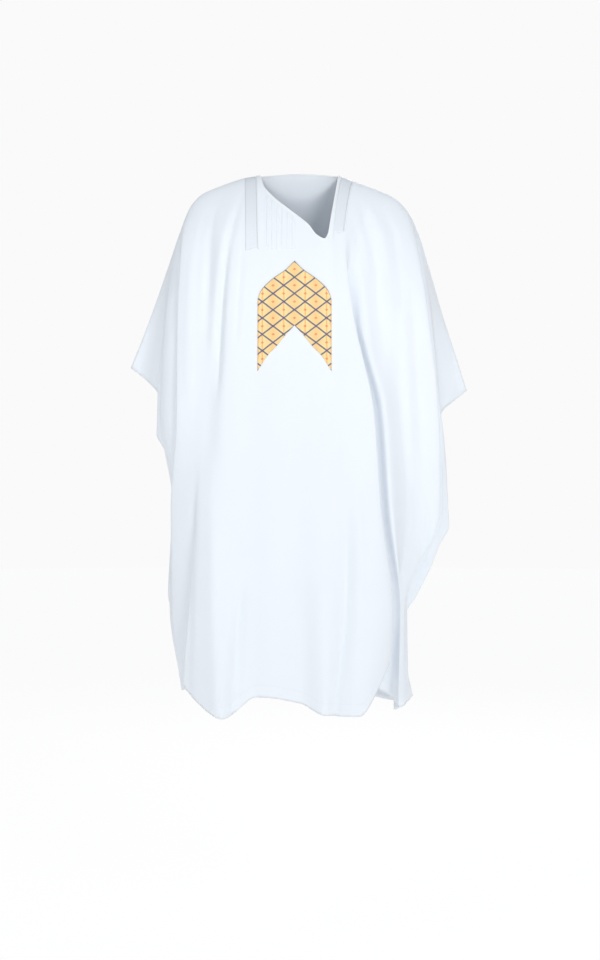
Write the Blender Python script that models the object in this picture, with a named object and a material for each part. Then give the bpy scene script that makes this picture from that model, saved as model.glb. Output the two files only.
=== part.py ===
"""Grand boubou robe, worn and hollow: a front and a back panel of one wide cloth each, joined along
the shoulders and below the hands, with a woven chest patch, two satin bands, piping and pintucks.

Metres, +Z up. The origin is the base of the neck, on the shoulder seam, where the wearer holds it up.
The front faces -Y, and +X is on the viewer's right. A drop is a distance below the origin.
A cut is a distance across the panel from its centre, measured along the shoulder seam.
"""
import math
from bisect import bisect_right
from collections import namedtuple

import bpy
from mathutils import Vector

# Cloth and seams
WALL = 0.0015
SEAM_GAP = 0.0003
TRIM_WALL = 0.0010
TRIM_LIFT = 0.0009
CLOSE_OPENING = 0.004
SMALL = 0.00005

# How the cloth turns over the shoulder and the sleeves' folds, and where the neck ends
TURN_SHARE = 0.25
SLEEVE_FOLD_RADIUS = 0.006
SLEEVE_FOLD_FROM = 0.290
SLEEVE_FOLD_ENDS = (0.30, 0.50)
NECK_FADE = 0.20
NECK_HALF = 0.083

# Heights of the sections: collar, chest, upper arm, elbow, hand, thigh, hem
SECTION_DROPS = (0.0, 0.14, 0.30, 0.50, 0.70, 0.90, 1.10)

# The shoulder seam, from the neck out to the corner of the sleeve
ShoulderPoint = namedtuple("ShoulderPoint", "name left_x left_drop right_x right_drop back")
SHOULDER_SEAM = (
    ShoulderPoint("neck", 0.083, 0.000, 0.083, 0.000, 0.000),
    ShoulderPoint("collar bone", 0.117, 0.006, 0.112, 0.012, 0.000),
    ShoulderPoint("shoulder", 0.167, 0.023, 0.159, 0.029, 0.000),
    ShoulderPoint("shoulder end", 0.205, 0.040, 0.200, 0.048, 0.000),
    ShoulderPoint("cap", 0.228, 0.065, 0.228, 0.077, 0.000),
    ShoulderPoint("upper arm", 0.250, 0.116, 0.249, 0.120, 0.004),
    ShoulderPoint("arm", 0.272, 0.177, 0.272, 0.190, 0.012),
    ShoulderPoint("above elbow", 0.301, 0.256, 0.303, 0.291, 0.025),
    ShoulderPoint("elbow", 0.331, 0.334, 0.332, 0.377, 0.035),
    ShoulderPoint("sleeve corner", 0.359, 0.400, 0.356, 0.448, 0.045),
)

# The slanted neckline of the front, from the left neck point to the foot of the slit and up again
NeckPoint = namedtuple("NeckPoint", "name cut x drop")
FRONT_NECK = (
    NeckPoint("left neck point", -0.083, -0.083, 0.000),
    NeckPoint("beside the left neck point", -0.079, -0.0800, 0.009),
    NeckPoint("left neck side", -0.074, -0.0765, 0.023),
    NeckPoint("below the left neck side", -0.068, -0.0710, 0.036),
    NeckPoint("top of the slope", -0.059, -0.0610, 0.049),
    NeckPoint("upper slope", -0.044, -0.0445, 0.066),
    NeckPoint("above the middle", -0.027, -0.027, 0.081),
    NeckPoint("middle of the slope", -0.009, -0.009, 0.096),
    NeckPoint("lower slope", 0.019, 0.019, 0.121),
    NeckPoint("above the foot", 0.034, 0.034, 0.141),
    NeckPoint("foot of the slit", 0.050, 0.051, 0.150),
    NeckPoint("slit turn", 0.058, 0.0585, 0.138),
    NeckPoint("lower slit", 0.0625, 0.0625, 0.114),
    NeckPoint("slit", 0.067, 0.067, 0.088),
    NeckPoint("upper slit", 0.0715, 0.0725, 0.057),
    NeckPoint("top of the slit", 0.0765, 0.0778, 0.026),
    NeckPoint("beside the right neck point", 0.0800, 0.0806, 0.010),
    NeckPoint("right neck point", 0.083, 0.083, 0.000),
)
BACK_NECK_RISE = 0.012

# The selvages below the sleeve corners: open down to the hand, then the side seam
EdgePoint = namedtuple("EdgePoint", "drop x opening middle")
LEFT_EDGE = (
    EdgePoint(0.400, -0.359, 0.000, 0.045),
    EdgePoint(0.430, -0.322, 0.010, 0.038),
    EdgePoint(0.458, -0.299, 0.016, 0.030),
    EdgePoint(0.495, -0.298, 0.020, 0.020),
    EdgePoint(0.542, -0.299, 0.022, 0.010),
    EdgePoint(0.565, -0.288, 0.022, 0.005),
    EdgePoint(0.604, -0.266, 0.020, 0.000),
    EdgePoint(0.672, -0.264, 0.012, 0.000),
    EdgePoint(0.735, -0.267, 0.000, 0.000),
    EdgePoint(0.803, -0.272, 0.000, 0.000),
    EdgePoint(0.880, -0.276, 0.000, 0.000),
    EdgePoint(0.916, -0.265, 0.000, 0.000),
    EdgePoint(0.950, -0.250, 0.000, 0.000),
    EdgePoint(1.000, -0.243, 0.000, 0.000),
    EdgePoint(1.060, -0.232, 0.000, 0.000),
)
RIGHT_EDGE = (
    EdgePoint(0.448, 0.356, 0.000, 0.045),
    EdgePoint(0.474, 0.324, 0.009, 0.038),
    EdgePoint(0.490, 0.304, 0.014, 0.032),
    EdgePoint(0.515, 0.294, 0.018, 0.024),
    EdgePoint(0.565, 0.291, 0.022, 0.010),
    EdgePoint(0.620, 0.291, 0.020, 0.000),
    EdgePoint(0.655, 0.297, 0.016, 0.000),
    EdgePoint(0.697, 0.311, 0.009, 0.000),
    EdgePoint(0.733, 0.314, 0.000, 0.000),
    EdgePoint(0.775, 0.294, 0.000, 0.000),
    EdgePoint(0.821, 0.276, 0.000, 0.000),
    EdgePoint(0.882, 0.245, 0.000, 0.000),
    EdgePoint(0.934, 0.217, 0.000, 0.000),
    EdgePoint(0.990, 0.218, 0.000, 0.000),
    EdgePoint(1.035, 0.225, 0.000, 0.000),
    EdgePoint(1.090, 0.238, 0.000, 0.000),
)

# The lines that shape a panel, one row for each large fold: where it starts on the shoulder seam,
# the drop of its hem, then its place across and its depth at the section heights
Line = namedtuple("Line", "name cut hem across depth")
FRONT_LINES = (
    Line("left arm ridge", -0.345, 1.060,
         (-0.235, -0.257, -0.275, -0.288, -0.262, -0.270, -0.238),
         (-0.010, -0.015, -0.050, -0.056, -0.032, -0.028, -0.028)),
    Line("left tuck, inner", -0.300, 1.065,
         (-0.220, -0.244, -0.256, -0.242, -0.256, -0.264, -0.238),
         (-0.014, -0.040, -0.060, -0.070, -0.058, -0.052, -0.050)),
    Line("left tuck, edge", -0.262, 1.070,
         (-0.208, -0.237, -0.250, -0.250, -0.263, -0.256, -0.238),
         (-0.020, -0.060, -0.080, -0.104, -0.084, -0.074, -0.070)),
    Line("left lower edge", -0.205, 1.050,
         (-0.168, -0.174, -0.173, -0.182, -0.206, -0.223, -0.243),
         (-0.045, -0.095, -0.108, -0.128, -0.138, -0.136, -0.112)),
    Line("left hem point", -0.142, 1.112,
         (-0.125, -0.138, -0.142, -0.146, -0.150, -0.156, -0.153),
         (-0.070, -0.118, -0.130, -0.147, -0.160, -0.172, -0.182)),
    Line("left of centre", -0.083, 1.071,
         (-0.083, -0.083, -0.083, -0.084, -0.085, -0.085, -0.085),
         (-0.100, -0.124, -0.137, -0.152, -0.163, -0.169, -0.164)),
    Line("centre", 0.000, 1.083,
         (0.000, 0.000, 0.000, 0.000, 0.000, 0.000, 0.000),
         (-0.110, -0.130, -0.141, -0.156, -0.167, -0.172, -0.168)),
    Line("right of centre", 0.058, 1.105,
         (0.062, 0.057, 0.058, 0.060, 0.060, 0.058, 0.056),
         (-0.105, -0.130, -0.141, -0.156, -0.169, -0.179, -0.186)),
    Line("right hem point", 0.094, 1.106,
         (0.090, 0.075, 0.086, 0.112, 0.124, 0.126, 0.120),
         (-0.095, -0.126, -0.138, -0.154, -0.167, -0.180, -0.192)),
    Line("right fold, edge", 0.125, 1.000,
         (0.118, 0.092, 0.108, 0.149, 0.164, 0.190, 0.202),
         (-0.080, -0.120, -0.133, -0.149, -0.154, -0.148, -0.120)),
    Line("right fold, inner", 0.168, 1.082,
         (0.152, 0.128, 0.130, 0.130, 0.145, 0.165, 0.178),
         (-0.060, -0.108, -0.117, -0.098, -0.086, -0.072, -0.060)),
    Line("right sleeve front", 0.205, 1.115,
         (0.185, 0.182, 0.192, 0.207, 0.222, 0.200, 0.196),
         (-0.048, -0.088, -0.102, -0.102, -0.072, -0.045, -0.035)),
    Line("right arm edge", 0.250, 1.110,
         (0.212, 0.244, 0.264, 0.284, 0.290, 0.218, 0.216),
         (-0.020, -0.058, -0.082, -0.088, -0.056, -0.030, -0.024)),
    Line("right arm, behind", 0.300, 1.100,
         (0.240, 0.254, 0.268, 0.286, 0.302, 0.224, 0.226),
         (-0.010, -0.022, -0.046, -0.056, -0.032, -0.014, -0.012)),
)
BACK_LINES = (
    Line("left arm", -0.345, 1.065,
         (-0.235, -0.257, -0.272, -0.284, -0.258, -0.262, -0.236),
         (0.010, 0.030, 0.062, 0.072, 0.060, 0.045, 0.030)),
    Line("left shoulder blade", -0.205, 1.085,
         (-0.180, -0.200, -0.206, -0.210, -0.206, -0.214, -0.205),
         (0.040, 0.082, 0.104, 0.116, 0.120, 0.114, 0.100)),
    Line("left of spine", -0.083, 1.092,
         (-0.083, -0.083, -0.084, -0.085, -0.086, -0.086, -0.086),
         (0.075, 0.112, 0.128, 0.136, 0.146, 0.154, 0.156)),
    Line("spine", 0.000, 1.096,
         (0.000, 0.000, 0.000, 0.000, 0.000, 0.000, 0.000),
         (0.080, 0.112, 0.126, 0.134, 0.146, 0.158, 0.162)),
    Line("right of spine", 0.094, 1.098,
         (0.094, 0.094, 0.095, 0.096, 0.096, 0.094, 0.094),
         (0.075, 0.112, 0.128, 0.138, 0.148, 0.152, 0.152)),
    Line("right shoulder blade", 0.205, 1.112,
         (0.180, 0.200, 0.208, 0.214, 0.218, 0.190, 0.190),
         (0.040, 0.082, 0.104, 0.114, 0.112, 0.100, 0.092)),
    Line("right arm", 0.300, 1.108,
         (0.235, 0.256, 0.270, 0.280, 0.290, 0.216, 0.222),
         (0.010, 0.028, 0.058, 0.070, 0.052, 0.034, 0.028)),
)

# Soft folds laid over those lines: three points of each, its half width, its height (a trough is
# negative), and whether it runs out through the hem
Fold = namedtuple("Fold", "name top middle bottom width height to_hem")
FRONT_FOLDS = (
    Fold("left shoulder trough", (-0.190, 0.06), (-0.190, 0.20), (-0.187, 0.42), 0.015, -0.008, False),
    Fold("left band trough", (-0.118, 0.03), (-0.156, 0.20), (-0.172, 0.50), 0.011, -0.011, False),
    Fold("left hem ridge", (-0.186, 0.66), (-0.180, 0.90), (-0.160, 1.12), 0.026, 0.012, True),
    Fold("left hem trough", (-0.116, 0.82), (-0.120, 0.96), (-0.128, 1.10), 0.016, -0.014, True),
    Fold("right hem ridge", (0.040, 0.80), (0.044, 0.96), (0.048, 1.12), 0.024, 0.010, True),
    Fold("right hem trough", (0.094, 0.70), (0.090, 0.92), (0.066, 1.12), 0.014, -0.014, True),
    Fold("right chest trough", (0.124, 0.06), (0.156, 0.22), (0.166, 0.46), 0.015, -0.012, False),
    Fold("right wrist trough", (0.238, 0.62), (0.256, 0.74), (0.250, 0.88), 0.013, -0.010, False),
)
BACK_FOLDS = (
    Fold("left blade trough", (-0.150, 0.08), (-0.166, 0.40), (-0.170, 0.86), 0.018, -0.012, False),
    Fold("left back ridge", (-0.110, 0.30), (-0.122, 0.70), (-0.140, 1.12), 0.026, 0.014, True),
    Fold("left back trough", (-0.060, 0.44), (-0.066, 0.78), (-0.080, 1.12), 0.020, -0.014, True),
    Fold("middle back ridge", (-0.010, 0.50), (-0.012, 0.80), (-0.018, 1.12), 0.028, 0.012, True),
    Fold("right back trough", (0.050, 0.40), (0.052, 0.76), (0.044, 1.12), 0.019, -0.015, True),
    Fold("right back ridge", (0.100, 0.26), (0.106, 0.66), (0.102, 1.12), 0.026, 0.014, True),
    Fold("right blade trough", (0.146, 0.08), (0.164, 0.36), (0.160, 0.84), 0.017, -0.012, False),
)
FOLD_FADE = 0.28

# The satin bands, seen from the front: top and foot of each side, and how far down they reach
Band = namedtuple("Band", "name outer_top outer_foot inner_top inner_foot foot")
BANDS = (
    Band("satin_band_left", -0.1140, -0.1095, -0.0912, -0.0850, 0.174),
    Band("satin_band_right", 0.1120, 0.0890, 0.0890, 0.0680, 0.134),
)
BAND_WALL = 0.0008
BAND_STEPS = 9

# White piping beside the bands, as wide as it shows
PIPING_WIDTH = 0.0022
PIPINGS = (
    Band("piping_left", -0.0908, -0.0846, -0.0886, -0.0824, 0.172),
    Band("piping_right", 0.1146, 0.0916, 0.1124, 0.0894, 0.134),
)

# The binding round the neck, and how far its outer edge stands in from the cut edge
BINDING_WIDTH = 0.0034
BINDING_INSET = 0.0004
BINDING_STEP = 0.0034
BINDING_LIFT = 0.0009

# The chest patch: its middle, and its upper and lower outlines as half width and drop
PATCH_MIDDLE = -0.010
PatchPoint = namedtuple("PatchPoint", "half drop")
PATCH_ARCH = (
    PatchPoint(0.000, 0.197),
    PatchPoint(0.018, 0.215),
    PatchPoint(0.042, 0.232),
    PatchPoint(0.060, 0.248),
    PatchPoint(0.070, 0.262),
    PatchPoint(0.074, 0.276),
)
PATCH_NOTCH = (
    PatchPoint(0.000, 0.328),
    PatchPoint(0.019, 0.349),
    PatchPoint(0.035, 0.369),
    PatchPoint(0.053, 0.388),
    PatchPoint(0.074, 0.420),
)
PATCH_HALVES = (0.0, 0.009, 0.018, 0.030, 0.042, 0.051, 0.060, 0.067, 0.074)
PATCH_ROWS = 8
PATCH_WALL = 0.0012

# Pintucks beside the patch's top, from just under the neckline
TUCK_COUNT = 6
TUCK_FIRST = -0.0650
TUCK_SPACING = 0.0104
TUCK_WIDTH = 0.0030
TUCK_WALL = 0.0009
TUCK_FOOT = 0.172
TUCK_BELOW_NECK = 0.013

# Mesh density
TURN_ANGLES = (0.0, 9.0, 20.0, 32.0, 45.0, 60.0, 78.0)
LEVEL_WINGS = 0.70
WING_LEVEL_CUTS = (0.20, 0.60)
EVEN_ROWS = 4
EVEN_NECK_DROP = 0.030
ROWS_BELOW_TURN = 17
CHEST_REACH = 0.240
HALVINGS = 30
STRIP_STEPS = 3
PANEL_COLUMN = 0.024
WING_COLUMN = 0.400
WING_START = 0.290
NECK_STEP = 0.013
NORMAL_REACH = 0.20


def smooth_curve(knots, values, place):
    """A smooth curve through the values at rising knots, which never swings past them."""
    last = len(knots) - 1
    span = min(max(bisect_right(knots, place) - 1, 0), last - 1)

    def rise(index):
        return (values[index + 1] - values[index]) / (knots[index + 1] - knots[index])

    def slope(index):
        if index == 0:
            return rise(0)
        if index == last:
            return rise(last - 1)
        before = rise(index - 1)
        after = rise(index)
        if before * after <= 0:
            return 0.0
        return 2 * before * after / (before + after)

    width = knots[span + 1] - knots[span]
    part = min(max((place - knots[span]) / width, 0.0), 1.0)
    square = part * part
    cube = square * part
    return (
        (2 * cube - 3 * square + 1) * values[span]
        + (cube - 2 * square + part) * width * slope(span)
        + (3 * square - 2 * cube) * values[span + 1]
        + (cube - square) * width * slope(span + 1)
    )


def smooth_step(low, high, place):
    part = min(max((place - low) / (high - low), 0.0), 1.0)
    return part * part * (3 - 2 * part)


def seam_side(side):
    """One side's shoulder seam as rising cuts with its x, drop and set back."""
    points = []
    for row in SHOULDER_SEAM:
        if side < 0:
            points.append((-row.left_x, row.left_drop, row.back))
        else:
            points.append((row.right_x, row.right_drop, row.back))
    cuts = [NECK_HALF]
    for before, after in zip(points, points[1:]):
        cuts.append(cuts[-1] + math.dist(before, after))
    return cuts, points


SEAMS = {-1: seam_side(-1), 1: seam_side(1)}
LEFT_CUT = -SEAMS[-1][0][-1]
RIGHT_CUT = SEAMS[1][0][-1]


def seam_point(cut):
    """The shoulder seam's x, drop and set back at a cut, level across the neck."""
    side = -1 if cut < 0 else 1
    cuts, points = SEAMS[side]
    reach = max(abs(cut), NECK_HALF)
    x, drop, back = (smooth_curve(cuts, [p[axis] for p in points], reach) for axis in range(3))
    if abs(cut) < NECK_HALF:
        return cut, 0.0, 0.0
    return x, drop, back


def neckline(panel, cut):
    """The panel's neck edge at a cut inside the neck, as x and drop."""
    if panel == "front":
        cuts = [p.cut for p in FRONT_NECK]
        x = smooth_curve(cuts, [p.x for p in FRONT_NECK], cut)
        drop = smooth_curve(cuts, [p.drop for p in FRONT_NECK], cut)
        return x, drop
    part = cut / NECK_HALF
    return cut, -BACK_NECK_RISE * (1 - part * part)


def edge_at(edge, drop):
    """A selvage at a drop, as x, opening and middle depth."""
    drops = [p.drop for p in edge]
    return [smooth_curve(drops, [getattr(p, key) for p in edge], drop) for key in ("x", "opening", "middle")]


class Panel:
    """A whole front or back, as a smooth surface over cut and share of the way down."""

    def __init__(self, name, lines, folds, facing):
        self.name = name
        self.lines = lines
        self.folds = folds
        self.facing = facing
        self.cuts = [LEFT_CUT] + [line.cut for line in lines] + [RIGHT_CUT]
        self.hems = [LEFT_EDGE[-1].drop] + [line.hem for line in lines] + [RIGHT_EDGE[-1].drop]

    def hem(self, cut):
        return smooth_curve(self.cuts, self.hems, cut)

    def top(self, cut):
        if abs(cut) < NECK_HALF:
            return neckline(self.name, cut)
        x, drop, back = seam_point(cut)
        return x, drop

    def line_at(self, index, drop, share):
        """The x and depth of one line at a drop, or of a selvage at a share of its length."""
        if 0 < index < len(self.cuts) - 1:
            line = self.lines[index - 1]
            across = smooth_curve(SECTION_DROPS, line.across, drop)
            return across, smooth_curve(SECTION_DROPS, line.depth, drop)
        edge = LEFT_EDGE if index == 0 else RIGHT_EDGE
        x, opening, middle = edge_at(edge, edge[0].drop + (edge[-1].drop - edge[0].drop) * share)
        return x, middle + self.facing * max(opening, SEAM_GAP / 2)

    def section(self, cut, drop, share):
        """The x and depth of the panel at one place, from the lines on either side."""
        span = min(max(bisect_right(self.cuts, cut) - 1, 0), len(self.cuts) - 2)
        near = range(max(span - 1, 0), min(span + 2, len(self.cuts) - 1) + 1)
        places = [self.line_at(index, drop, share) for index in near]
        knots = [self.cuts[index] for index in near]
        return [smooth_curve(knots, [place[axis] for place in places], cut) for axis in range(2)]

    def fold_height(self, x, drop):
        """How far the soft folds lift the cloth outwards at one place."""
        lift = 0.0
        for fold in self.folds:
            drops = [fold.top[1], fold.middle[1], fold.bottom[1]]
            places = [fold.top[0], fold.middle[0], fold.bottom[0]]
            if not drops[0] < drop < drops[2] + 0.05:
                continue
            line = smooth_curve(drops, places, drop)
            share = (drop - drops[0]) / (drops[2] - drops[0])
            strength = smooth_step(0.0, FOLD_FADE, share)
            if not fold.to_hem:
                strength *= 1 - smooth_step(1 - FOLD_FADE, 1.0, share)
            lift += fold.height * strength * math.exp(-((x - line) / fold.width) ** 2)
        return lift

    def point(self, cut, share):
        """The middle of the cloth at a cut, a share of the way from its top to its hem."""
        top_x, top_drop = self.top(cut)
        seam_x, seam_drop, seam_back = seam_point(cut)
        hem = self.hem(cut)
        drop = top_drop + (hem - top_drop) * share
        x, depth = self.section(cut, drop, share)
        if share < NECK_FADE:
            start = self.section(cut, top_drop, 0.0)[0]
            x += (top_x - start) * (1 - smooth_step(0.0, NECK_FADE, share))
        turn = min(max((drop - seam_drop) / (TURN_SHARE * (hem - seam_drop)), 0.0), 1.0)
        if self.name == "back" and abs(cut) < NECK_HALF:
            turn = max(turn, self.neck_turn(cut))
        rounding = math.sqrt(1 - (1 - turn) ** 2)
        seam_depth = seam_back + self.facing * SEAM_GAP / 2
        y = seam_depth + (depth - seam_depth) * rounding
        y += self.facing * self.fold_height(x, drop) * rounding
        if abs(cut) > SLEEVE_FOLD_FROM and share > 0:
            y = self.clear_of_other_side(y, cut, share, drop)
        return Vector((x, y, -drop))

    def clear_of_other_side(self, y, cut, share, drop):
        """Keep a sleeve's front and back apart by the roundness of the fold between them."""
        edge, corner = (LEFT_EDGE, LEFT_CUT) if cut < 0 else (RIGHT_EDGE, RIGHT_CUT)
        outward = (abs(cut) - SLEEVE_FOLD_FROM) / (abs(corner) - SLEEVE_FOLD_FROM)
        seam_drop, seam_back = seam_point(cut)[1:]
        middle = seam_back + (edge_at(edge, drop)[2] - seam_point(corner)[2]) * outward
        turn = min((drop - seam_drop) / SLEEVE_FOLD_RADIUS, 1.0)
        radius = SLEEVE_FOLD_RADIUS * (1 - smooth_step(*SLEEVE_FOLD_ENDS, share))
        radius = max(radius, SEAM_GAP / 2)
        spacing = radius * math.sqrt(1 - (1 - turn) ** 2)
        return middle + self.facing * max(self.facing * (y - middle), spacing)

    def neck_turn(self, cut):
        """How far the back neck has already turned down where its edge starts."""
        part = cut / NECK_HALF
        return 0.16 * (1 - part * part)

    def rows(self, cut):
        """The shares of the mesh rows at a cut: close together where the cloth turns over the
        shoulder, and evenly spaced below a cut-out neck."""
        shares = [TURN_SHARE * (1 - math.cos(math.radians(angle))) for angle in TURN_ANGLES]
        start = shares[-1]
        for step in range(1, ROWS_BELOW_TURN + 1):
            shares.append(start + (1 - start) * step / ROWS_BELOW_TURN)
        even = smooth_step(0.0, EVEN_NECK_DROP, self.top(cut)[1]) if abs(cut) < NECK_HALF else 0.0
        for row in range(1, EVEN_ROWS):
            spaced = shares[EVEN_ROWS] * row / EVEN_ROWS
            shares[row] += (spaced - shares[row]) * even
        level = LEVEL_WINGS * smooth_step(*WING_LEVEL_CUTS, abs(cut))
        return [share * (1 - level * (1 - share)) for share in shares]


def columns(panel):
    """The cuts of a panel's mesh columns. Outside the neck both panels have the same ones, so that
    their edges match along the seams."""
    stops = {LEFT_CUT, RIGHT_CUT, -NECK_HALF, NECK_HALF}
    stops.update(line.cut for line in FRONT_LINES if abs(line.cut) > NECK_HALF)
    if panel.name == "front":
        stops.update(point.cut for point in FRONT_NECK)
    stops = sorted(stops)
    cuts = [stops[0]]
    for before, after in zip(stops, stops[1:]):
        widest = WING_COLUMN if min(abs(before), abs(after)) > WING_START else PANEL_COLUMN
        steps = max(1, round((after - before) / widest))
        if panel.name == "front" and max(abs(before), abs(after)) <= NECK_HALF:
            fall = abs(panel.top(after)[1] - panel.top(before)[1])
            steps = max(steps, round(fall / NECK_STEP))
        for step in range(1, steps + 1):
            cuts.append(before + (after - before) * step / steps)
    return cuts


def falls_to_right(points, row, column):
    """Whether a cell of a sheet is split from its upper left to its lower right, the shorter way."""
    falling = (points[row][column] - points[row + 1][column + 1]).length
    rising = (points[row + 1][column] - points[row][column + 1]).length
    return falling <= rising


def triangles(points):
    """Every triangle of a sheet, as three pairs of row and column."""
    found = []
    for row in range(len(points) - 1):
        for column in range(len(points[0]) - 1):
            high_left, high_right = (row, column), (row, column + 1)
            low_left, low_right = (row + 1, column), (row + 1, column + 1)
            if falls_to_right(points, row, column):
                found.append((high_left, low_left, low_right))
                found.append((high_left, low_right, high_right))
            else:
                found.append((high_left, low_left, high_right))
                found.append((low_left, low_right, high_right))
    return found


class Facets:
    """A panel's own mesh points, so that what lies on the panel is moved out from them."""

    def __init__(self, panel):
        self.panel = panel
        self.cuts = columns(panel)
        self.shares = list(zip(*(panel.rows(cut) for cut in self.cuts)))
        self.points = [
            [panel.point(cut, share) for cut, share in zip(self.cuts, row)] for row in self.shares
        ]
        self.last_row = len(self.shares) - 1
        self.wing_normals = {}
        for corners in triangles(self.points):
            high, low, other = (self.points[row][column] for row, column in corners)
            facing = ((low - high).cross(other - high) * -panel.facing).normalized()
            for corner in corners:
                self.wing_normals[corner] = self.wing_normals.get(corner, Vector()) + facing
        self.normals = [
            [self.normal(row, column) for column in range(len(self.cuts))] for row in range(self.last_row + 1)
        ]

    def sheet(self):
        return [list(zip(points, normals)) for points, normals in zip(self.points, self.normals)]

    def normal(self, row, column):
        """The way the cloth faces outwards. Along a seam the two panels' edges are kept parallel."""
        panel = self.panel
        last = len(self.cuts) - 1
        cut = self.cuts[column]
        share = self.shares[row][column]
        before = (cut - self.cuts[max(column - 1, 0)]) * NORMAL_REACH
        after = (self.cuts[min(column + 1, last)] - cut) * NORMAL_REACH
        left = panel.point(cut - before, share + SMALL)
        right = panel.point(cut + after, share + SMALL)
        above = panel.point(cut, max(share - SMALL, SMALL))
        below = panel.point(cut, share + 2 * SMALL)
        facing = ((below - above).cross(right - left) * -panel.facing).normalized()
        if abs(cut) > WING_START:
            facing = self.wing_normals[row, column].normalized()
        joined = row == 0 and abs(cut) >= NECK_HALF
        if column in (0, last) and share > SLEEVE_FOLD_ENDS[1]:
            drop = -self.points[row][column].z
            joined = edge_at(LEFT_EDGE if column == 0 else RIGHT_EDGE, drop)[1] < CLOSE_OPENING
        if joined:
            facing.y = 0.0
            facing.normalize()
        return facing

    def place(self, cut, share, lift):
        """A point lifted off the panel's outer triangles at a cut and share, and the way it faces."""
        column = min(max(bisect_right(self.cuts, cut) - 1, 0), len(self.cuts) - 2)
        over = (cut - self.cuts[column]) / (self.cuts[column + 1] - self.cuts[column])
        shares = [row[column] + (row[column + 1] - row[column]) * over for row in self.shares]
        row = min(max(bisect_right(shares, share) - 1, 0), self.last_row - 1)
        down = (share - shares[row]) / (shares[row + 1] - shares[row])
        falling = falls_to_right(self.points, row, column)
        found = []
        for grid in (self.points, self.normals):
            high_left, high_right = grid[row][column], grid[row][column + 1]
            low_left, low_right = grid[row + 1][column], grid[row + 1][column + 1]
            if falling and down >= over:
                found.append(high_left + (low_left - high_left) * down + (low_right - low_left) * over)
            elif falling:
                found.append(high_left + (high_right - high_left) * over + (low_right - high_right) * down)
            elif down + over <= 1:
                found.append(high_left + (high_right - high_left) * over + (low_left - high_left) * down)
            else:
                found.append(
                    low_right + (low_left - low_right) * (1 - over) + (high_right - low_right) * (1 - down)
                )
        facing = found[1].normalized()
        return found[0] + found[1] * (WALL / 2) + facing * lift, facing

    def share_at(self, cut, drop):
        top = self.panel.top(cut)[1]
        return (drop - top) / (self.panel.hem(cut) - top)

    def cut_at(self, x, share):
        """The cut whose point lies at x, at one share of the way down the chest."""
        low, high = -CHEST_REACH, CHEST_REACH
        for _ in range(HALVINGS):
            middle = (low + high) / 2
            if self.panel.point(middle, share).x < x:
                low = middle
            else:
                high = middle
        return (low + high) / 2

    def place_at(self, x, drop, lift):
        """A point of the chest as seen from the front."""
        low, high = -CHEST_REACH, CHEST_REACH
        for _ in range(HALVINGS):
            middle = (low + high) / 2
            share = min(max(self.share_at(middle, drop), 0.0), 1.0)
            if self.panel.point(middle, share).x < x:
                low = middle
            else:
                high = middle
        cut = (low + high) / 2
        return self.place(cut, min(max(self.share_at(cut, drop), 0.0), 1.0), lift)


def trim_lift(wall):
    return TRIM_LIFT + wall / 2


def strip_shares(facets, top, foot):
    """Shares for the rows of a strip: the panel's own rows, with even steps between them."""
    rows = facets.panel.rows(NECK_HALF)
    stops = [top] + [share for share in rows if top < share < foot] + [foot]
    shares = [top]
    for before, after in zip(stops, stops[1:]):
        shares.extend(before + (after - before) * step / STRIP_STEPS for step in range(1, STRIP_STEPS + 1))
    return shares


def band_rows(facets, band, wall, steps):
    """Rows of a strip that runs down from the shoulder seam, at each row of the panel it lies on."""
    lift = trim_lift(wall)
    foot = facets.share_at(facets.cut_at(band.outer_foot, band.foot), band.foot)
    rows = []
    for share in strip_shares(facets, 0.0, foot):
        part = share / foot
        outer = band.outer_top + (band.outer_foot - band.outer_top) * part
        inner = band.inner_top + (band.inner_foot - band.inner_top) * part
        cuts = [facets.cut_at(outer + (inner - outer) * step / steps, share) for step in range(steps + 1)]
        rows.append([facets.place(cut, share, lift) for cut in sorted(cuts)])
    return rows


def outline_drop(outline, half):
    """A patch outline's drop at a half width, straight from point to point."""
    for before, after in zip(outline, outline[1:]):
        if half <= after.half:
            part = (half - before.half) / (after.half - before.half)
            return before.drop + (after.drop - before.drop) * part
    return outline[-1].drop


def patch_rows(facets):
    lift = trim_lift(PATCH_WALL)
    halves = [-half for half in reversed(PATCH_HALVES[1:])] + list(PATCH_HALVES)
    rows = []
    for step in range(PATCH_ROWS + 1):
        row = []
        for half in halves:
            top = outline_drop(PATCH_ARCH, abs(half))
            foot = outline_drop(PATCH_NOTCH, abs(half))
            drop = top + (foot - top) * step / PATCH_ROWS
            row.append(facets.place_at(PATCH_MIDDLE + half, drop, lift))
        rows.append(row)
    return rows


def tuck_rows(facets, number):
    lift = trim_lift(TUCK_WALL)
    middle = TUCK_FIRST + TUCK_SPACING * number
    cut = facets.cut_at(middle, 0.0)
    top = facets.share_at(cut, neckline("front", middle)[1] + TUCK_BELOW_NECK)
    foot = facets.share_at(cut, TUCK_FOOT)
    rows = []
    for share in strip_shares(facets, top, foot):
        sides = (middle - TUCK_WIDTH / 2, middle + TUCK_WIDTH / 2)
        rows.append([facets.place(facets.cut_at(x, share), share, lift) for x in sides])
    return rows


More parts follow.
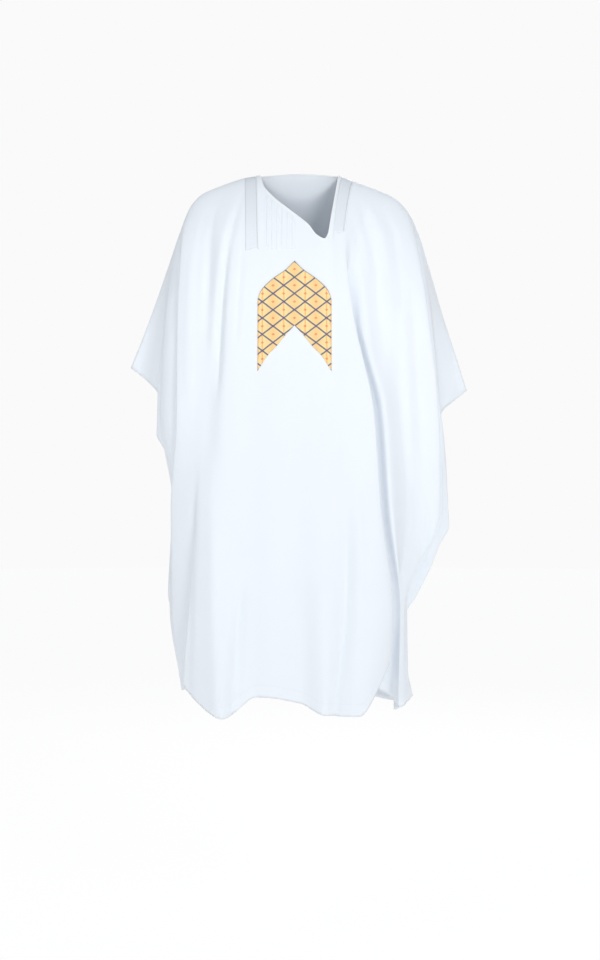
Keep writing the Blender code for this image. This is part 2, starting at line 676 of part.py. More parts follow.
def binding_rows(facets):
    """The neck binding: its upper edge just inside the cut edge, its lower edge square to it."""
    panel = facets.panel
    lift = BINDING_LIFT + TRIM_WALL / 2
    cuts = [cut for cut in facets.cuts if abs(cut) < NECK_HALF]
    edge = []
    for before, after in zip(cuts, cuts[1:]):
        length = math.dist(panel.top(before), panel.top(after))
        steps = max(1, round(length / BINDING_STEP))
        edge.extend(before + (after - before) * step / steps for step in range(steps))
    edge.append(cuts[-1])
    rows = [[], [], []]
    for cut in edge:
        x, drop = panel.top(cut)
        before = Vector(panel.top(cut - SMALL))
        after = Vector(panel.top(cut + SMALL))
        along = (after - before).normalized()
        inward = Vector((-along.y, along.x))
        for step, row in enumerate(rows):
            distance = BINDING_INSET + BINDING_WIDTH * step / 2
            row.append(facets.place_at(x + inward.x * distance, drop + inward.y * distance, lift))
    return rows


def cloth_material(name, color, roughness):
    material = bpy.data.materials.new(name)
    material.use_nodes = True
    shader = material.node_tree.nodes["Principled BSDF"]
    shader.inputs["Base Color"].default_value = (*color, 1.0)
    shader.inputs["Roughness"].default_value = roughness
    shader.inputs["Metallic"].default_value = 0.0
    return material


def cloth_object(name, rows, wall, material, collection, side=-1):
    """A closed sheet of cloth: its points moved half a wall the way they face, and half a wall in."""
    width = len(rows[0])
    count = len(rows) * width
    middles = [[point for point, facing in row] for row in rows]
    outer = [point + facing * (wall / 2) for row in rows for point, facing in row]
    inner = [point - facing * (wall / 2) for row in rows for point, facing in row]
    faces = []
    for corners in triangles(middles):
        face = tuple(row * width + column for row, column in corners)
        faces.append(face)
        faces.append(tuple(index + count for index in reversed(face)))
    rim = list(range(width))
    rim += [row * width + width - 1 for row in range(1, len(rows))]
    rim += [count - 1 - step for step in range(1, width)]
    rim += [row * width for row in range(len(rows) - 2, 0, -1)]
    for here, there in zip(rim, rim[1:] + rim[:1]):
        faces.append((here, there, there + count))
        faces.append((here, there + count, here + count))
    if side > 0:
        faces = [face[::-1] for face in faces]
    mesh = bpy.data.meshes.new(name)
    mesh.from_pydata(outer + inner, [], faces)
    mesh.materials.append(material)
    mesh.shade_smooth()
    sheet = bpy.data.objects.new(name, mesh)
    collection.objects.link(sheet)
    return sheet


def build():
    for leftover in list(bpy.data.objects):
        bpy.data.objects.remove(leftover)
    collection = bpy.data.collections.new("Grand boubou robe")
    bpy.context.scene.collection.children.link(collection)
    suiting = cloth_material("White suiting", (0.90, 0.93, 0.97), 0.75)
    satin = cloth_material("Pale grey satin", (0.72, 0.76, 0.80), 0.40)
    piping = cloth_material("White piping", (0.95, 0.96, 0.98), 0.55)
    lattice = cloth_material("Woven lattice", (0.93, 0.70, 0.42), 0.70)

    front = Facets(Panel("front", FRONT_LINES, FRONT_FOLDS, -1))
    back = Facets(Panel("back", BACK_LINES, BACK_FOLDS, 1))
    cloth_object("front_panel", front.sheet(), WALL, suiting, collection)
    cloth_object("back_panel", back.sheet(), WALL, suiting, collection, 1)

    for band in BANDS:
        cloth_object(band.name, band_rows(front, band, BAND_WALL, BAND_STEPS), BAND_WALL, satin, collection)
    for strip in PIPINGS:
        cloth_object(strip.name, band_rows(front, strip, TRIM_WALL, 1), TRIM_WALL, piping, collection)
    cloth_object("neck_binding_front", binding_rows(front), TRIM_WALL, piping, collection)
    cloth_object("neck_binding_back", binding_rows(back), TRIM_WALL, piping, collection, 1)
    cloth_object("chest_patch", patch_rows(front), PATCH_WALL, lattice, collection)
    for number in range(TUCK_COUNT):
        cloth_object(f"tuck_{number + 1}", tuck_rows(front, number), TUCK_WALL, suiting, collection)


build()
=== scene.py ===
# %% [markdown]
# A grand boubou is one very wide length of cloth for the front and one for the back, joined along the
# shoulders. Worn, it drops from the shoulders in long soft folds, and its wide sleeves are only the
# cloth's own width. This lesson dresses the plain solids of the part: finer cloth in the same form,
# its satin bands, piping, pintucks and the woven patch on the chest, and the weave of each.
# The part's own model comes first, with its size, because nothing made here may outgrow it.

# %% Load the part
import math
from bisect import bisect_right
from collections import namedtuple

import bpy
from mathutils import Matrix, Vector, noise


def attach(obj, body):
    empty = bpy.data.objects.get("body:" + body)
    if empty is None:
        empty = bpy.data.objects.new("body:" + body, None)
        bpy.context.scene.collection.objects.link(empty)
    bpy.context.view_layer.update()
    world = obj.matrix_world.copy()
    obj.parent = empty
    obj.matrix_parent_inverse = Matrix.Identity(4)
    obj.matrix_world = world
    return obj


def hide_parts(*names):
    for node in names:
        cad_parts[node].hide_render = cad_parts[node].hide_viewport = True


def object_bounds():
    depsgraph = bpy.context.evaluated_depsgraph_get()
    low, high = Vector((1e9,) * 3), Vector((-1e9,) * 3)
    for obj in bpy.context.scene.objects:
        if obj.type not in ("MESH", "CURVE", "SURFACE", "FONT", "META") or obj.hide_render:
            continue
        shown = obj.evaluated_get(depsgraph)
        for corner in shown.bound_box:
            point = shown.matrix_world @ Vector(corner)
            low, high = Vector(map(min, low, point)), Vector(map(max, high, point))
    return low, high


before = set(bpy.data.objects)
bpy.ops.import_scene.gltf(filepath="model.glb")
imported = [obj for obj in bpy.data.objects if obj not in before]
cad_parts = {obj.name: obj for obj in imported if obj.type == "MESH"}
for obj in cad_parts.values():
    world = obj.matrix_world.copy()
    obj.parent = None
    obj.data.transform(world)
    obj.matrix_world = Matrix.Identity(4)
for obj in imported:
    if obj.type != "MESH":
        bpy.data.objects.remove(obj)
cad_low, cad_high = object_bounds()
cad_size = [round(top - bottom, 3) for bottom, top in zip(cad_low, cad_high)]
print("solids", sorted(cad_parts), "size", cad_size)

# %% [markdown]
# The camera stands where the photograph was taken from: 3.2 m in front, level with the picture's
# middle. One pixel is 2.1 mm at the depth of the shoulder line. The lens follows from that, and so
# does the camera's place, because the base of the neck is the frame's origin.

# %% Camera
CAMERA_AWAY = 3.2
PIXEL = 0.0021
PHOTO_WIDTH = 600
PHOTO_HEIGHT = 960
NECK_COLUMN = 299.5
NECK_ROW = 176
SENSOR = 36

camera_data = bpy.data.cameras.new("Camera")
camera_data.sensor_width = SENSOR
camera_data.lens = SENSOR * CAMERA_AWAY / (PHOTO_HEIGHT * PIXEL)
camera = bpy.data.objects.new("Camera", camera_data)
camera.location = (
    (PHOTO_WIDTH / 2 - NECK_COLUMN) * PIXEL,
    -CAMERA_AWAY,
    (NECK_ROW - PHOTO_HEIGHT / 2) * PIXEL,
)
camera.rotation_euler = (math.radians(90), 0, 0)
bpy.context.scene.collection.objects.link(camera)
bpy.context.scene.camera = camera
print("lens", round(camera_data.lens, 2))

# %% [markdown]
# The cloth's form is kept in tables, as a tailor keeps a pattern. A cut is a distance across the
# cloth from its centre, measured along the shoulder seam. A drop is a distance below the base of the
# neck, where the shoulders hold the robe up. The first tables are the seam, the slanted neckline and
# the selvages, which stay open at the sleeves and meet below them.

# %% Seam, neckline and selvages
SEAM_GAP = 0.0003
NECK_HALF = 0.083
BACK_NECK_RISE = 0.012

ShoulderPoint = namedtuple("ShoulderPoint", "name left_x left_drop right_x right_drop back")
SHOULDER_SEAM = (
    ShoulderPoint("neck", 0.083, 0.000, 0.083, 0.000, 0.000),
    ShoulderPoint("collar bone", 0.117, 0.006, 0.112, 0.012, 0.000),
    ShoulderPoint("shoulder", 0.167, 0.023, 0.159, 0.029, 0.000),
    ShoulderPoint("shoulder end", 0.205, 0.040, 0.200, 0.048, 0.000),
    ShoulderPoint("cap", 0.228, 0.065, 0.228, 0.077, 0.000),
    ShoulderPoint("upper arm", 0.250, 0.116, 0.249, 0.120, 0.004),
    ShoulderPoint("arm", 0.272, 0.177, 0.272, 0.190, 0.012),
    ShoulderPoint("above elbow", 0.301, 0.256, 0.303, 0.291, 0.025),
    ShoulderPoint("elbow", 0.331, 0.334, 0.332, 0.377, 0.035),
    ShoulderPoint("sleeve corner", 0.359, 0.400, 0.356, 0.448, 0.045),
)

NeckPoint = namedtuple("NeckPoint", "name cut x drop")
FRONT_NECK = (
    NeckPoint("left neck point", -0.083, -0.083, 0.000),
    NeckPoint("beside the left neck point", -0.079, -0.0800, 0.009),
    NeckPoint("left neck side", -0.074, -0.0765, 0.023),
    NeckPoint("below the left neck side", -0.068, -0.0710, 0.036),
    NeckPoint("top of the slope", -0.059, -0.0610, 0.049),
    NeckPoint("upper slope", -0.044, -0.0445, 0.066),
    NeckPoint("above the middle", -0.027, -0.027, 0.081),
    NeckPoint("middle of the slope", -0.009, -0.009, 0.096),
    NeckPoint("lower slope", 0.019, 0.019, 0.121),
    NeckPoint("above the foot", 0.034, 0.034, 0.141),
    NeckPoint("foot of the slit", 0.050, 0.051, 0.150),
    NeckPoint("slit turn", 0.058, 0.0585, 0.138),
    NeckPoint("lower slit", 0.0625, 0.0625, 0.114),
    NeckPoint("slit", 0.067, 0.067, 0.088),
    NeckPoint("upper slit", 0.0715, 0.0725, 0.057),
    NeckPoint("top of the slit", 0.0765, 0.0778, 0.026),
    NeckPoint("beside the right neck point", 0.0800, 0.0806, 0.010),
    NeckPoint("right neck point", 0.083, 0.083, 0.000),
)

EdgePoint = namedtuple("EdgePoint", "drop x opening middle")
LEFT_EDGE = (
    EdgePoint(0.400, -0.359, 0.000, 0.045),
    EdgePoint(0.430, -0.322, 0.010, 0.038),
    EdgePoint(0.458, -0.299, 0.016, 0.030),
    EdgePoint(0.495, -0.298, 0.020, 0.020),
    EdgePoint(0.542, -0.299, 0.022, 0.010),
    EdgePoint(0.565, -0.288, 0.022, 0.005),
    EdgePoint(0.604, -0.266, 0.020, 0.000),
    EdgePoint(0.672, -0.264, 0.012, 0.000),
    EdgePoint(0.735, -0.267, 0.000, 0.000),
    EdgePoint(0.803, -0.272, 0.000, 0.000),
    EdgePoint(0.880, -0.276, 0.000, 0.000),
    EdgePoint(0.916, -0.265, 0.000, 0.000),
    EdgePoint(0.950, -0.250, 0.000, 0.000),
    EdgePoint(1.000, -0.243, 0.000, 0.000),
    EdgePoint(1.060, -0.232, 0.000, 0.000),
)
RIGHT_EDGE = (
    EdgePoint(0.448, 0.356, 0.000, 0.045),
    EdgePoint(0.474, 0.324, 0.009, 0.038),
    EdgePoint(0.490, 0.304, 0.014, 0.032),
    EdgePoint(0.515, 0.294, 0.018, 0.024),
    EdgePoint(0.565, 0.291, 0.022, 0.010),
    EdgePoint(0.620, 0.291, 0.020, 0.000),
    EdgePoint(0.655, 0.297, 0.016, 0.000),
    EdgePoint(0.697, 0.311, 0.009, 0.000),
    EdgePoint(0.733, 0.314, 0.000, 0.000),
    EdgePoint(0.775, 0.294, 0.000, 0.000),
    EdgePoint(0.821, 0.276, 0.000, 0.000),
    EdgePoint(0.882, 0.245, 0.000, 0.000),
    EdgePoint(0.934, 0.217, 0.000, 0.000),
    EdgePoint(0.990, 0.218, 0.000, 0.000),
    EdgePoint(1.035, 0.225, 0.000, 0.000),
    EdgePoint(1.090, 0.238, 0.000, 0.000),
)
print("seam points", len(SHOULDER_SEAM), "neck points", len(FRONT_NECK))

# %% [markdown]
# Long folds that pass in front of one another are the robe's character, so they are laid out as
# lines down the cloth: for each, its place across and its depth at seven heights. Where a line's
# place goes back on the one before it, the cloth doubles under itself and leaves the sharp dark
# edge that the photograph shows down the right of the robe and beside each sleeve.

# %% The lines of the large folds
SECTION_DROPS = (0.0, 0.14, 0.30, 0.50, 0.70, 0.90, 1.10)
Line = namedtuple("Line", "name cut hem across depth")
FRONT_LINES = (
    Line("left arm ridge", -0.345, 1.060,
         (-0.235, -0.257, -0.275, -0.288, -0.262, -0.270, -0.238),
         (-0.010, -0.015, -0.050, -0.056, -0.032, -0.028, -0.028)),
    Line("left arm, beside the tuck", -0.316, 1.063,
         (-0.226, -0.248, -0.258, -0.264, -0.262, -0.265, -0.238),
         (-0.012, -0.040, -0.066, -0.084, -0.060, -0.044, -0.042)),
    Line("left tuck, inner", -0.292, 1.066,
         (-0.217, -0.240, -0.243, -0.240, -0.252, -0.262, -0.238),
         (-0.015, -0.050, -0.073, -0.094, -0.075, -0.058, -0.054)),
    Line("left tuck, edge", -0.262, 1.070,
         (-0.208, -0.237, -0.250, -0.250, -0.263, -0.262, -0.238),
         (-0.020, -0.060, -0.080, -0.104, -0.084, -0.074, -0.070)),
    Line("behind the left lower edge", -0.228, 1.058,
         (-0.184, -0.198, -0.202, -0.207, -0.212, -0.211, -0.226),
         (-0.036, -0.081, -0.098, -0.119, -0.128, -0.126, -0.098)),
    Line("left lower edge", -0.205, 1.050,
         (-0.168, -0.174, -0.173, -0.182, -0.206, -0.223, -0.243),
         (-0.045, -0.095, -0.108, -0.128, -0.138, -0.136, -0.112)),
    Line("left hem point", -0.142, 1.112,
         (-0.125, -0.138, -0.142, -0.146, -0.150, -0.156, -0.153),
         (-0.070, -0.118, -0.130, -0.147, -0.160, -0.172, -0.182)),
    Line("left of centre", -0.083, 1.071,
         (-0.083, -0.083, -0.083, -0.084, -0.085, -0.085, -0.085),
         (-0.100, -0.124, -0.137, -0.152, -0.163, -0.169, -0.164)),
    Line("centre", 0.000, 1.083,
         (0.000, 0.000, 0.000, 0.000, 0.000, 0.000, 0.000),
         (-0.110, -0.130, -0.141, -0.156, -0.167, -0.172, -0.168)),
    Line("right of centre", 0.058, 1.105,
         (0.062, 0.057, 0.058, 0.060, 0.060, 0.058, 0.056),
         (-0.105, -0.130, -0.141, -0.156, -0.169, -0.179, -0.186)),
    Line("right hem point", 0.094, 1.106,
         (0.090, 0.075, 0.086, 0.112, 0.124, 0.126, 0.120),
         (-0.095, -0.126, -0.138, -0.154, -0.167, -0.180, -0.192)),
    Line("right fold, edge", 0.125, 1.000,
         (0.118, 0.092, 0.108, 0.149, 0.164, 0.187, 0.177),
         (-0.080, -0.120, -0.133, -0.149, -0.154, -0.148, -0.126)),
    Line("right fold, inner", 0.150, 1.056,
         (0.138, 0.104, 0.094, 0.124, 0.140, 0.158, 0.150),
         (-0.068, -0.114, -0.114, -0.122, -0.126, -0.120, -0.060)),
    Line("right fold, beside the edge", 0.170, 1.084,
         (0.154, 0.116, 0.112, 0.154, 0.169, 0.193, 0.186),
         (-0.059, -0.108, -0.113, -0.124, -0.128, -0.120, -0.050)),
    Line("right fold, ridge beyond", 0.187, 1.100,
         (0.168, 0.134, 0.131, 0.172, 0.186, 0.204, 0.201),
         (-0.053, -0.108, -0.122, -0.137, -0.140, -0.126, -0.098)),
    Line("right sleeve front", 0.205, 1.115,
         (0.185, 0.182, 0.192, 0.207, 0.222, 0.200, 0.196),
         (-0.048, -0.088, -0.102, -0.102, -0.078, -0.048, -0.035)),
    Line("right arm edge", 0.250, 1.110,
         (0.212, 0.244, 0.264, 0.284, 0.290, 0.218, 0.216),
         (-0.020, -0.058, -0.082, -0.088, -0.056, -0.030, -0.024)),
    Line("right arm, behind", 0.284, 1.103,
         (0.230, 0.236, 0.253, 0.272, 0.283, 0.222, 0.224),
         (-0.014, -0.040, -0.060, -0.067, -0.042, -0.018, -0.015)),
    Line("right wing, beside the edge", 0.306, 1.100,
         (0.242, 0.246, 0.266, 0.286, 0.297, 0.225, 0.228),
         (-0.008, -0.038, -0.060, -0.067, -0.040, -0.012, -0.010)),
)
BACK_LINES = (
    Line("left arm", -0.345, 1.065,
         (-0.235, -0.257, -0.272, -0.284, -0.258, -0.262, -0.236),
         (0.010, 0.030, 0.062, 0.072, 0.060, 0.045, 0.030)),
    Line("left shoulder blade", -0.205, 1.085,
         (-0.180, -0.200, -0.206, -0.210, -0.206, -0.214, -0.205),
         (0.040, 0.082, 0.104, 0.116, 0.120, 0.114, 0.100)),
    Line("left of spine", -0.083, 1.092,
         (-0.083, -0.083, -0.084, -0.085, -0.086, -0.086, -0.086),
         (0.075, 0.112, 0.128, 0.136, 0.146, 0.154, 0.156)),
    Line("spine", 0.000, 1.096,
         (0.000, 0.000, 0.000, 0.000, 0.000, 0.000, 0.000),
         (0.080, 0.112, 0.126, 0.134, 0.146, 0.158, 0.162)),
    Line("right of spine", 0.094, 1.098,
         (0.094, 0.094, 0.095, 0.096, 0.096, 0.094, 0.094),
         (0.075, 0.112, 0.128, 0.138, 0.148, 0.152, 0.152)),
    Line("right shoulder blade", 0.205, 1.112,
         (0.180, 0.200, 0.208, 0.214, 0.218, 0.190, 0.190),
         (0.040, 0.082, 0.104, 0.114, 0.112, 0.100, 0.092)),
    Line("right arm", 0.300, 1.108,
         (0.235, 0.256, 0.270, 0.280, 0.290, 0.216, 0.222),
         (0.010, 0.028, 0.058, 0.070, 0.052, 0.034, 0.028)),
)
print("lines in front", len(FRONT_LINES), "and behind", len(BACK_LINES))

# %% [markdown]
# Softer folds are laid over those lines one by one, each with its own length, width and height,
# because real folds never repeat. They fan out from the shoulders and the bands, and run on
# through the hem, where they make its wave. The back has folds of the same kind.

# %% Soft folds
Fold = namedtuple("Fold", "name top middle bottom width height to_hem")
FRONT_FOLDS = (
    Fold("left shoulder trough", (-0.186, 0.05), (-0.188, 0.20), (-0.187, 0.42), 0.011, -0.004, False),
    Fold("left band trough", (-0.112, 0.02), (-0.150, 0.19), (-0.168, 0.50), 0.009, -0.0050, False),
    Fold("left hem ridge", (-0.172, 0.66), (-0.170, 0.90), (-0.160, 1.12), 0.022, 0.006, True),
    Fold("left hem trough", (-0.116, 0.82), (-0.124, 0.96), (-0.132, 1.10), 0.013, -0.008, True),
    Fold("right hem ridge", (0.040, 0.80), (0.044, 0.96), (0.048, 1.12), 0.026, 0.007, True),
    Fold("right hem trough", (0.094, 0.66), (0.090, 0.90), (0.064, 1.12), 0.012, -0.008, True),
    Fold("right chest trough", (0.122, 0.05), (0.156, 0.22), (0.166, 0.46), 0.011, -0.012, False),
    Fold("right wrist trough", (0.238, 0.62), (0.256, 0.74), (0.250, 0.88), 0.013, -0.010, False),
    Fold("left band crease", (-0.106, 0.010), (-0.145, 0.17), (-0.167, 0.50), 0.0042, -0.0046, False),
    Fold("left band second crease", (-0.112, 0.14), (-0.121, 0.26), (-0.128, 0.38), 0.005, -0.0026, False),
    Fold("left shoulder crease", (-0.150, 0.030), (-0.176, 0.10), (-0.188, 0.30), 0.006, -0.0035, False),
    Fold("left fine crease", (-0.168, 0.045), (-0.200, 0.12), (-0.216, 0.28), 0.005, -0.0022, False),
    Fold("left arm soft ridge", (-0.215, 0.12), (-0.226, 0.30), (-0.224, 0.52), 0.012, 0.0040, False),
    Fold("left upper ridge", (-0.134, 0.05), (-0.166, 0.20), (-0.184, 0.44), 0.008, 0.0035, False),
    Fold("left low ridge", (-0.178, 0.56), (-0.174, 0.78), (-0.164, 1.10), 0.012, 0.0016, True),
    Fold("left low crease", (-0.208, 0.62), (-0.214, 0.78), (-0.222, 1.02), 0.007, -0.0035, True),
    Fold("left middle swell", (-0.060, 0.56), (-0.064, 0.80), (-0.070, 1.08), 0.030, 0.0035, True),
    Fold("left hem crease", (-0.118, 0.86), (-0.128, 0.96), (-0.136, 1.09), 0.006, -0.0022, True),
    Fold("centre slack", (-0.006, 0.46), (-0.010, 0.70), (-0.014, 0.98), 0.032, -0.0028, False),
    Fold("right belly crease", (0.098, 0.66), (0.094, 0.86), (0.068, 1.10), 0.006, -0.0028, True),
    Fold("right belly ridge", (0.116, 0.60), (0.120, 0.84), (0.104, 1.10), 0.010, 0.0042, True),
    Fold("right chest crease", (0.098, 0.075), (0.132, 0.20), (0.158, 0.34), 0.005, -0.0048, False),
    Fold("right chest second crease", (0.118, 0.055), (0.158, 0.16), (0.172, 0.30), 0.006, -0.0036, False),
    Fold("right shoulder fan", (0.150, 0.045), (0.196, 0.14), (0.214, 0.34), 0.006, -0.0030, False),
    Fold("right shoulder ridge", (0.128, 0.040), (0.172, 0.15), (0.190, 0.36), 0.008, 0.0030, False),
    Fold("right sleeve trough", (0.226, 0.20), (0.240, 0.42), (0.250, 0.66), 0.012, -0.0050, False),
    Fold("right sleeve ridge", (0.210, 0.24), (0.226, 0.48), (0.234, 0.76), 0.010, 0.0042, False),
    Fold("right sleeve low crease", (0.222, 0.60), (0.238, 0.72), (0.226, 0.90), 0.006, -0.0040, False),
)
BACK_FOLDS = (
    Fold("left blade trough", (-0.150, 0.08), (-0.166, 0.40), (-0.170, 0.86), 0.018, -0.012, False),
    Fold("left back ridge", (-0.110, 0.30), (-0.122, 0.70), (-0.140, 1.12), 0.026, 0.014, True),
    Fold("left back trough", (-0.060, 0.44), (-0.066, 0.78), (-0.080, 1.12), 0.020, -0.014, True),
    Fold("middle back ridge", (-0.010, 0.50), (-0.012, 0.80), (-0.018, 1.12), 0.028, 0.012, True),
    Fold("right back trough", (0.050, 0.40), (0.052, 0.76), (0.044, 1.12), 0.019, -0.015, True),
    Fold("right back ridge", (0.100, 0.26), (0.106, 0.66), (0.102, 1.12), 0.026, 0.014, True),
    Fold("right blade trough", (0.146, 0.08), (0.164, 0.36), (0.160, 0.84), 0.017, -0.012, False),
    Fold("left blade crease", (-0.124, 0.04), (-0.158, 0.16), (-0.176, 0.38), 0.006, -0.0042, False),
    Fold("left shoulder crease", (-0.160, 0.05), (-0.198, 0.16), (-0.222, 0.36), 0.007, -0.0040, False),
    Fold("left low crease", (-0.186, 0.56), (-0.192, 0.80), (-0.190, 1.08), 0.008, -0.0050, True),
    Fold("left arm trough", (-0.232, 0.26), (-0.246, 0.48), (-0.236, 0.76), 0.012, -0.0060, False),
    Fold("left back crease", (-0.064, 0.50), (-0.074, 0.78), (-0.088, 1.10), 0.007, -0.0045, True),
    Fold("middle crease", (0.018, 0.54), (0.014, 0.82), (0.010, 1.10), 0.008, -0.0040, True),
    Fold("right back crease", (0.056, 0.48), (0.058, 0.78), (0.050, 1.10), 0.007, -0.0045, True),
    Fold("right blade crease", (0.120, 0.05), (0.156, 0.17), (0.176, 0.40), 0.006, -0.0044, False),
    Fold("right shoulder crease", (0.158, 0.05), (0.196, 0.15), (0.220, 0.33), 0.007, -0.0036, False),
    Fold("right arm trough", (0.236, 0.24), (0.250, 0.46), (0.244, 0.74), 0.012, -0.0060, False),
    Fold("right low crease", (0.140, 0.60), (0.150, 0.84), (0.146, 1.10), 0.008, -0.0048, True),
)
FOLD_FADE = 0.28
FOLD_REACH = 3
FOLD_TAIL = 0.05
print("soft folds", len(FRONT_FOLDS), "in front and", len(BACK_FOLDS), "behind")

# %% [markdown]
# Between the numbers of a table the cloth has to run smoothly, and it must never swing past them,
# or two layers would cut through each other. A curve whose slope at each knot is the harmonic mean
# of the slopes beside it does both.

# %% Smooth curves through a table
def joined_slope(before, after):
    if before * after <= 0:
        return 0.0
    return 2 * before * after / (before + after)


def smooth_curve(knots, values, place):
    """The value at a place on the smooth curve through the values at rising knots."""
    def slope(index):
        return (values[index + 1] - values[index]) / (knots[index + 1] - knots[index])

    last = len(knots) - 1
    span = min(max(bisect_right(knots, place) - 1, 0), last - 1)
    width = knots[span + 1] - knots[span]
    start = end = rise = slope(span)
    if span > 0:
        start = joined_slope(slope(span - 1), rise)
    if span < last - 1:
        end = joined_slope(rise, slope(span + 1))
    part = min(max((place - knots[span]) / width, 0.0), 1.0)
    square = part * part
    cube = square * part
    return (
        (2 * cube - 3 * square + 1) * values[span]
        + (cube - 2 * square + part) * width * start
        + (3 * square - 2 * cube) * values[span + 1]
        + (cube - square) * width * end
    )


def smooth_step(low, high, place):
    part = min(max((place - low) / (high - low), 0.0), 1.0)
    return part * part * (3 - 2 * part)


def seam_side(side):
    """One side's shoulder seam: its cuts, and its x, drop and set back at each."""
    points = []
    for row in SHOULDER_SEAM:
        if side < 0:
            points.append((-row.left_x, row.left_drop, row.back))
        else:
            points.append((row.right_x, row.right_drop, row.back))
    cuts = [NECK_HALF]
    for before, after in zip(points, points[1:]):
        cuts.append(cuts[-1] + math.dist(before, after))
    return cuts, list(zip(*points))


SEAMS = {-1: seam_side(-1), 1: seam_side(1)}
LEFT_CUT = -SEAMS[-1][0][-1]
RIGHT_CUT = SEAMS[1][0][-1]
print("the cloth is", round(RIGHT_CUT - LEFT_CUT, 3), "m wide along the shoulders")

# %% [markdown]
# With the curves ready, a panel can answer one question: where is the cloth at this cut, this share
# of the way from its top to its hem? It leaves the shoulder level and rounds over into its fall, as
# cloth does over a shoulder. Near the sleeves' folded edge the front is kept clear of the back.

# %% Where the cloth hangs
TURN_SHARE = 0.25
NECK_FADE = 0.20
BACK_NECK_TURN = 0.16
NECK_CUTS, NECK_X, NECK_DROPS = list(zip(*FRONT_NECK))[1:]
LEFT_SIDE = list(zip(*LEFT_EDGE))
RIGHT_SIDE = list(zip(*RIGHT_EDGE))
SLEEVE_FOLD_RADIUS = 0.006
SLEEVE_FOLD_FROM = 0.290
SLEEVE_FOLD_ENDS = (0.30, 0.50)
SMALL = 0.0004
RIPPLE = 0.0011
RIPPLE_ACROSS = 9
RIPPLE_DOWN = 3.2
RIPPLE_APART = 3


def seam_point(cut):
    """The shoulder seam's x, drop and set back at a cut, level across the neck."""
    if abs(cut) < NECK_HALF:
        return cut, 0.0, 0.0
    cuts, columns = SEAMS[-1 if cut < 0 else 1]
    return tuple(smooth_curve(cuts, column, abs(cut)) for column in columns)


def edge_at(edge, drop):
    drops, *columns = edge
    return [smooth_curve(drops, column, drop) for column in columns]


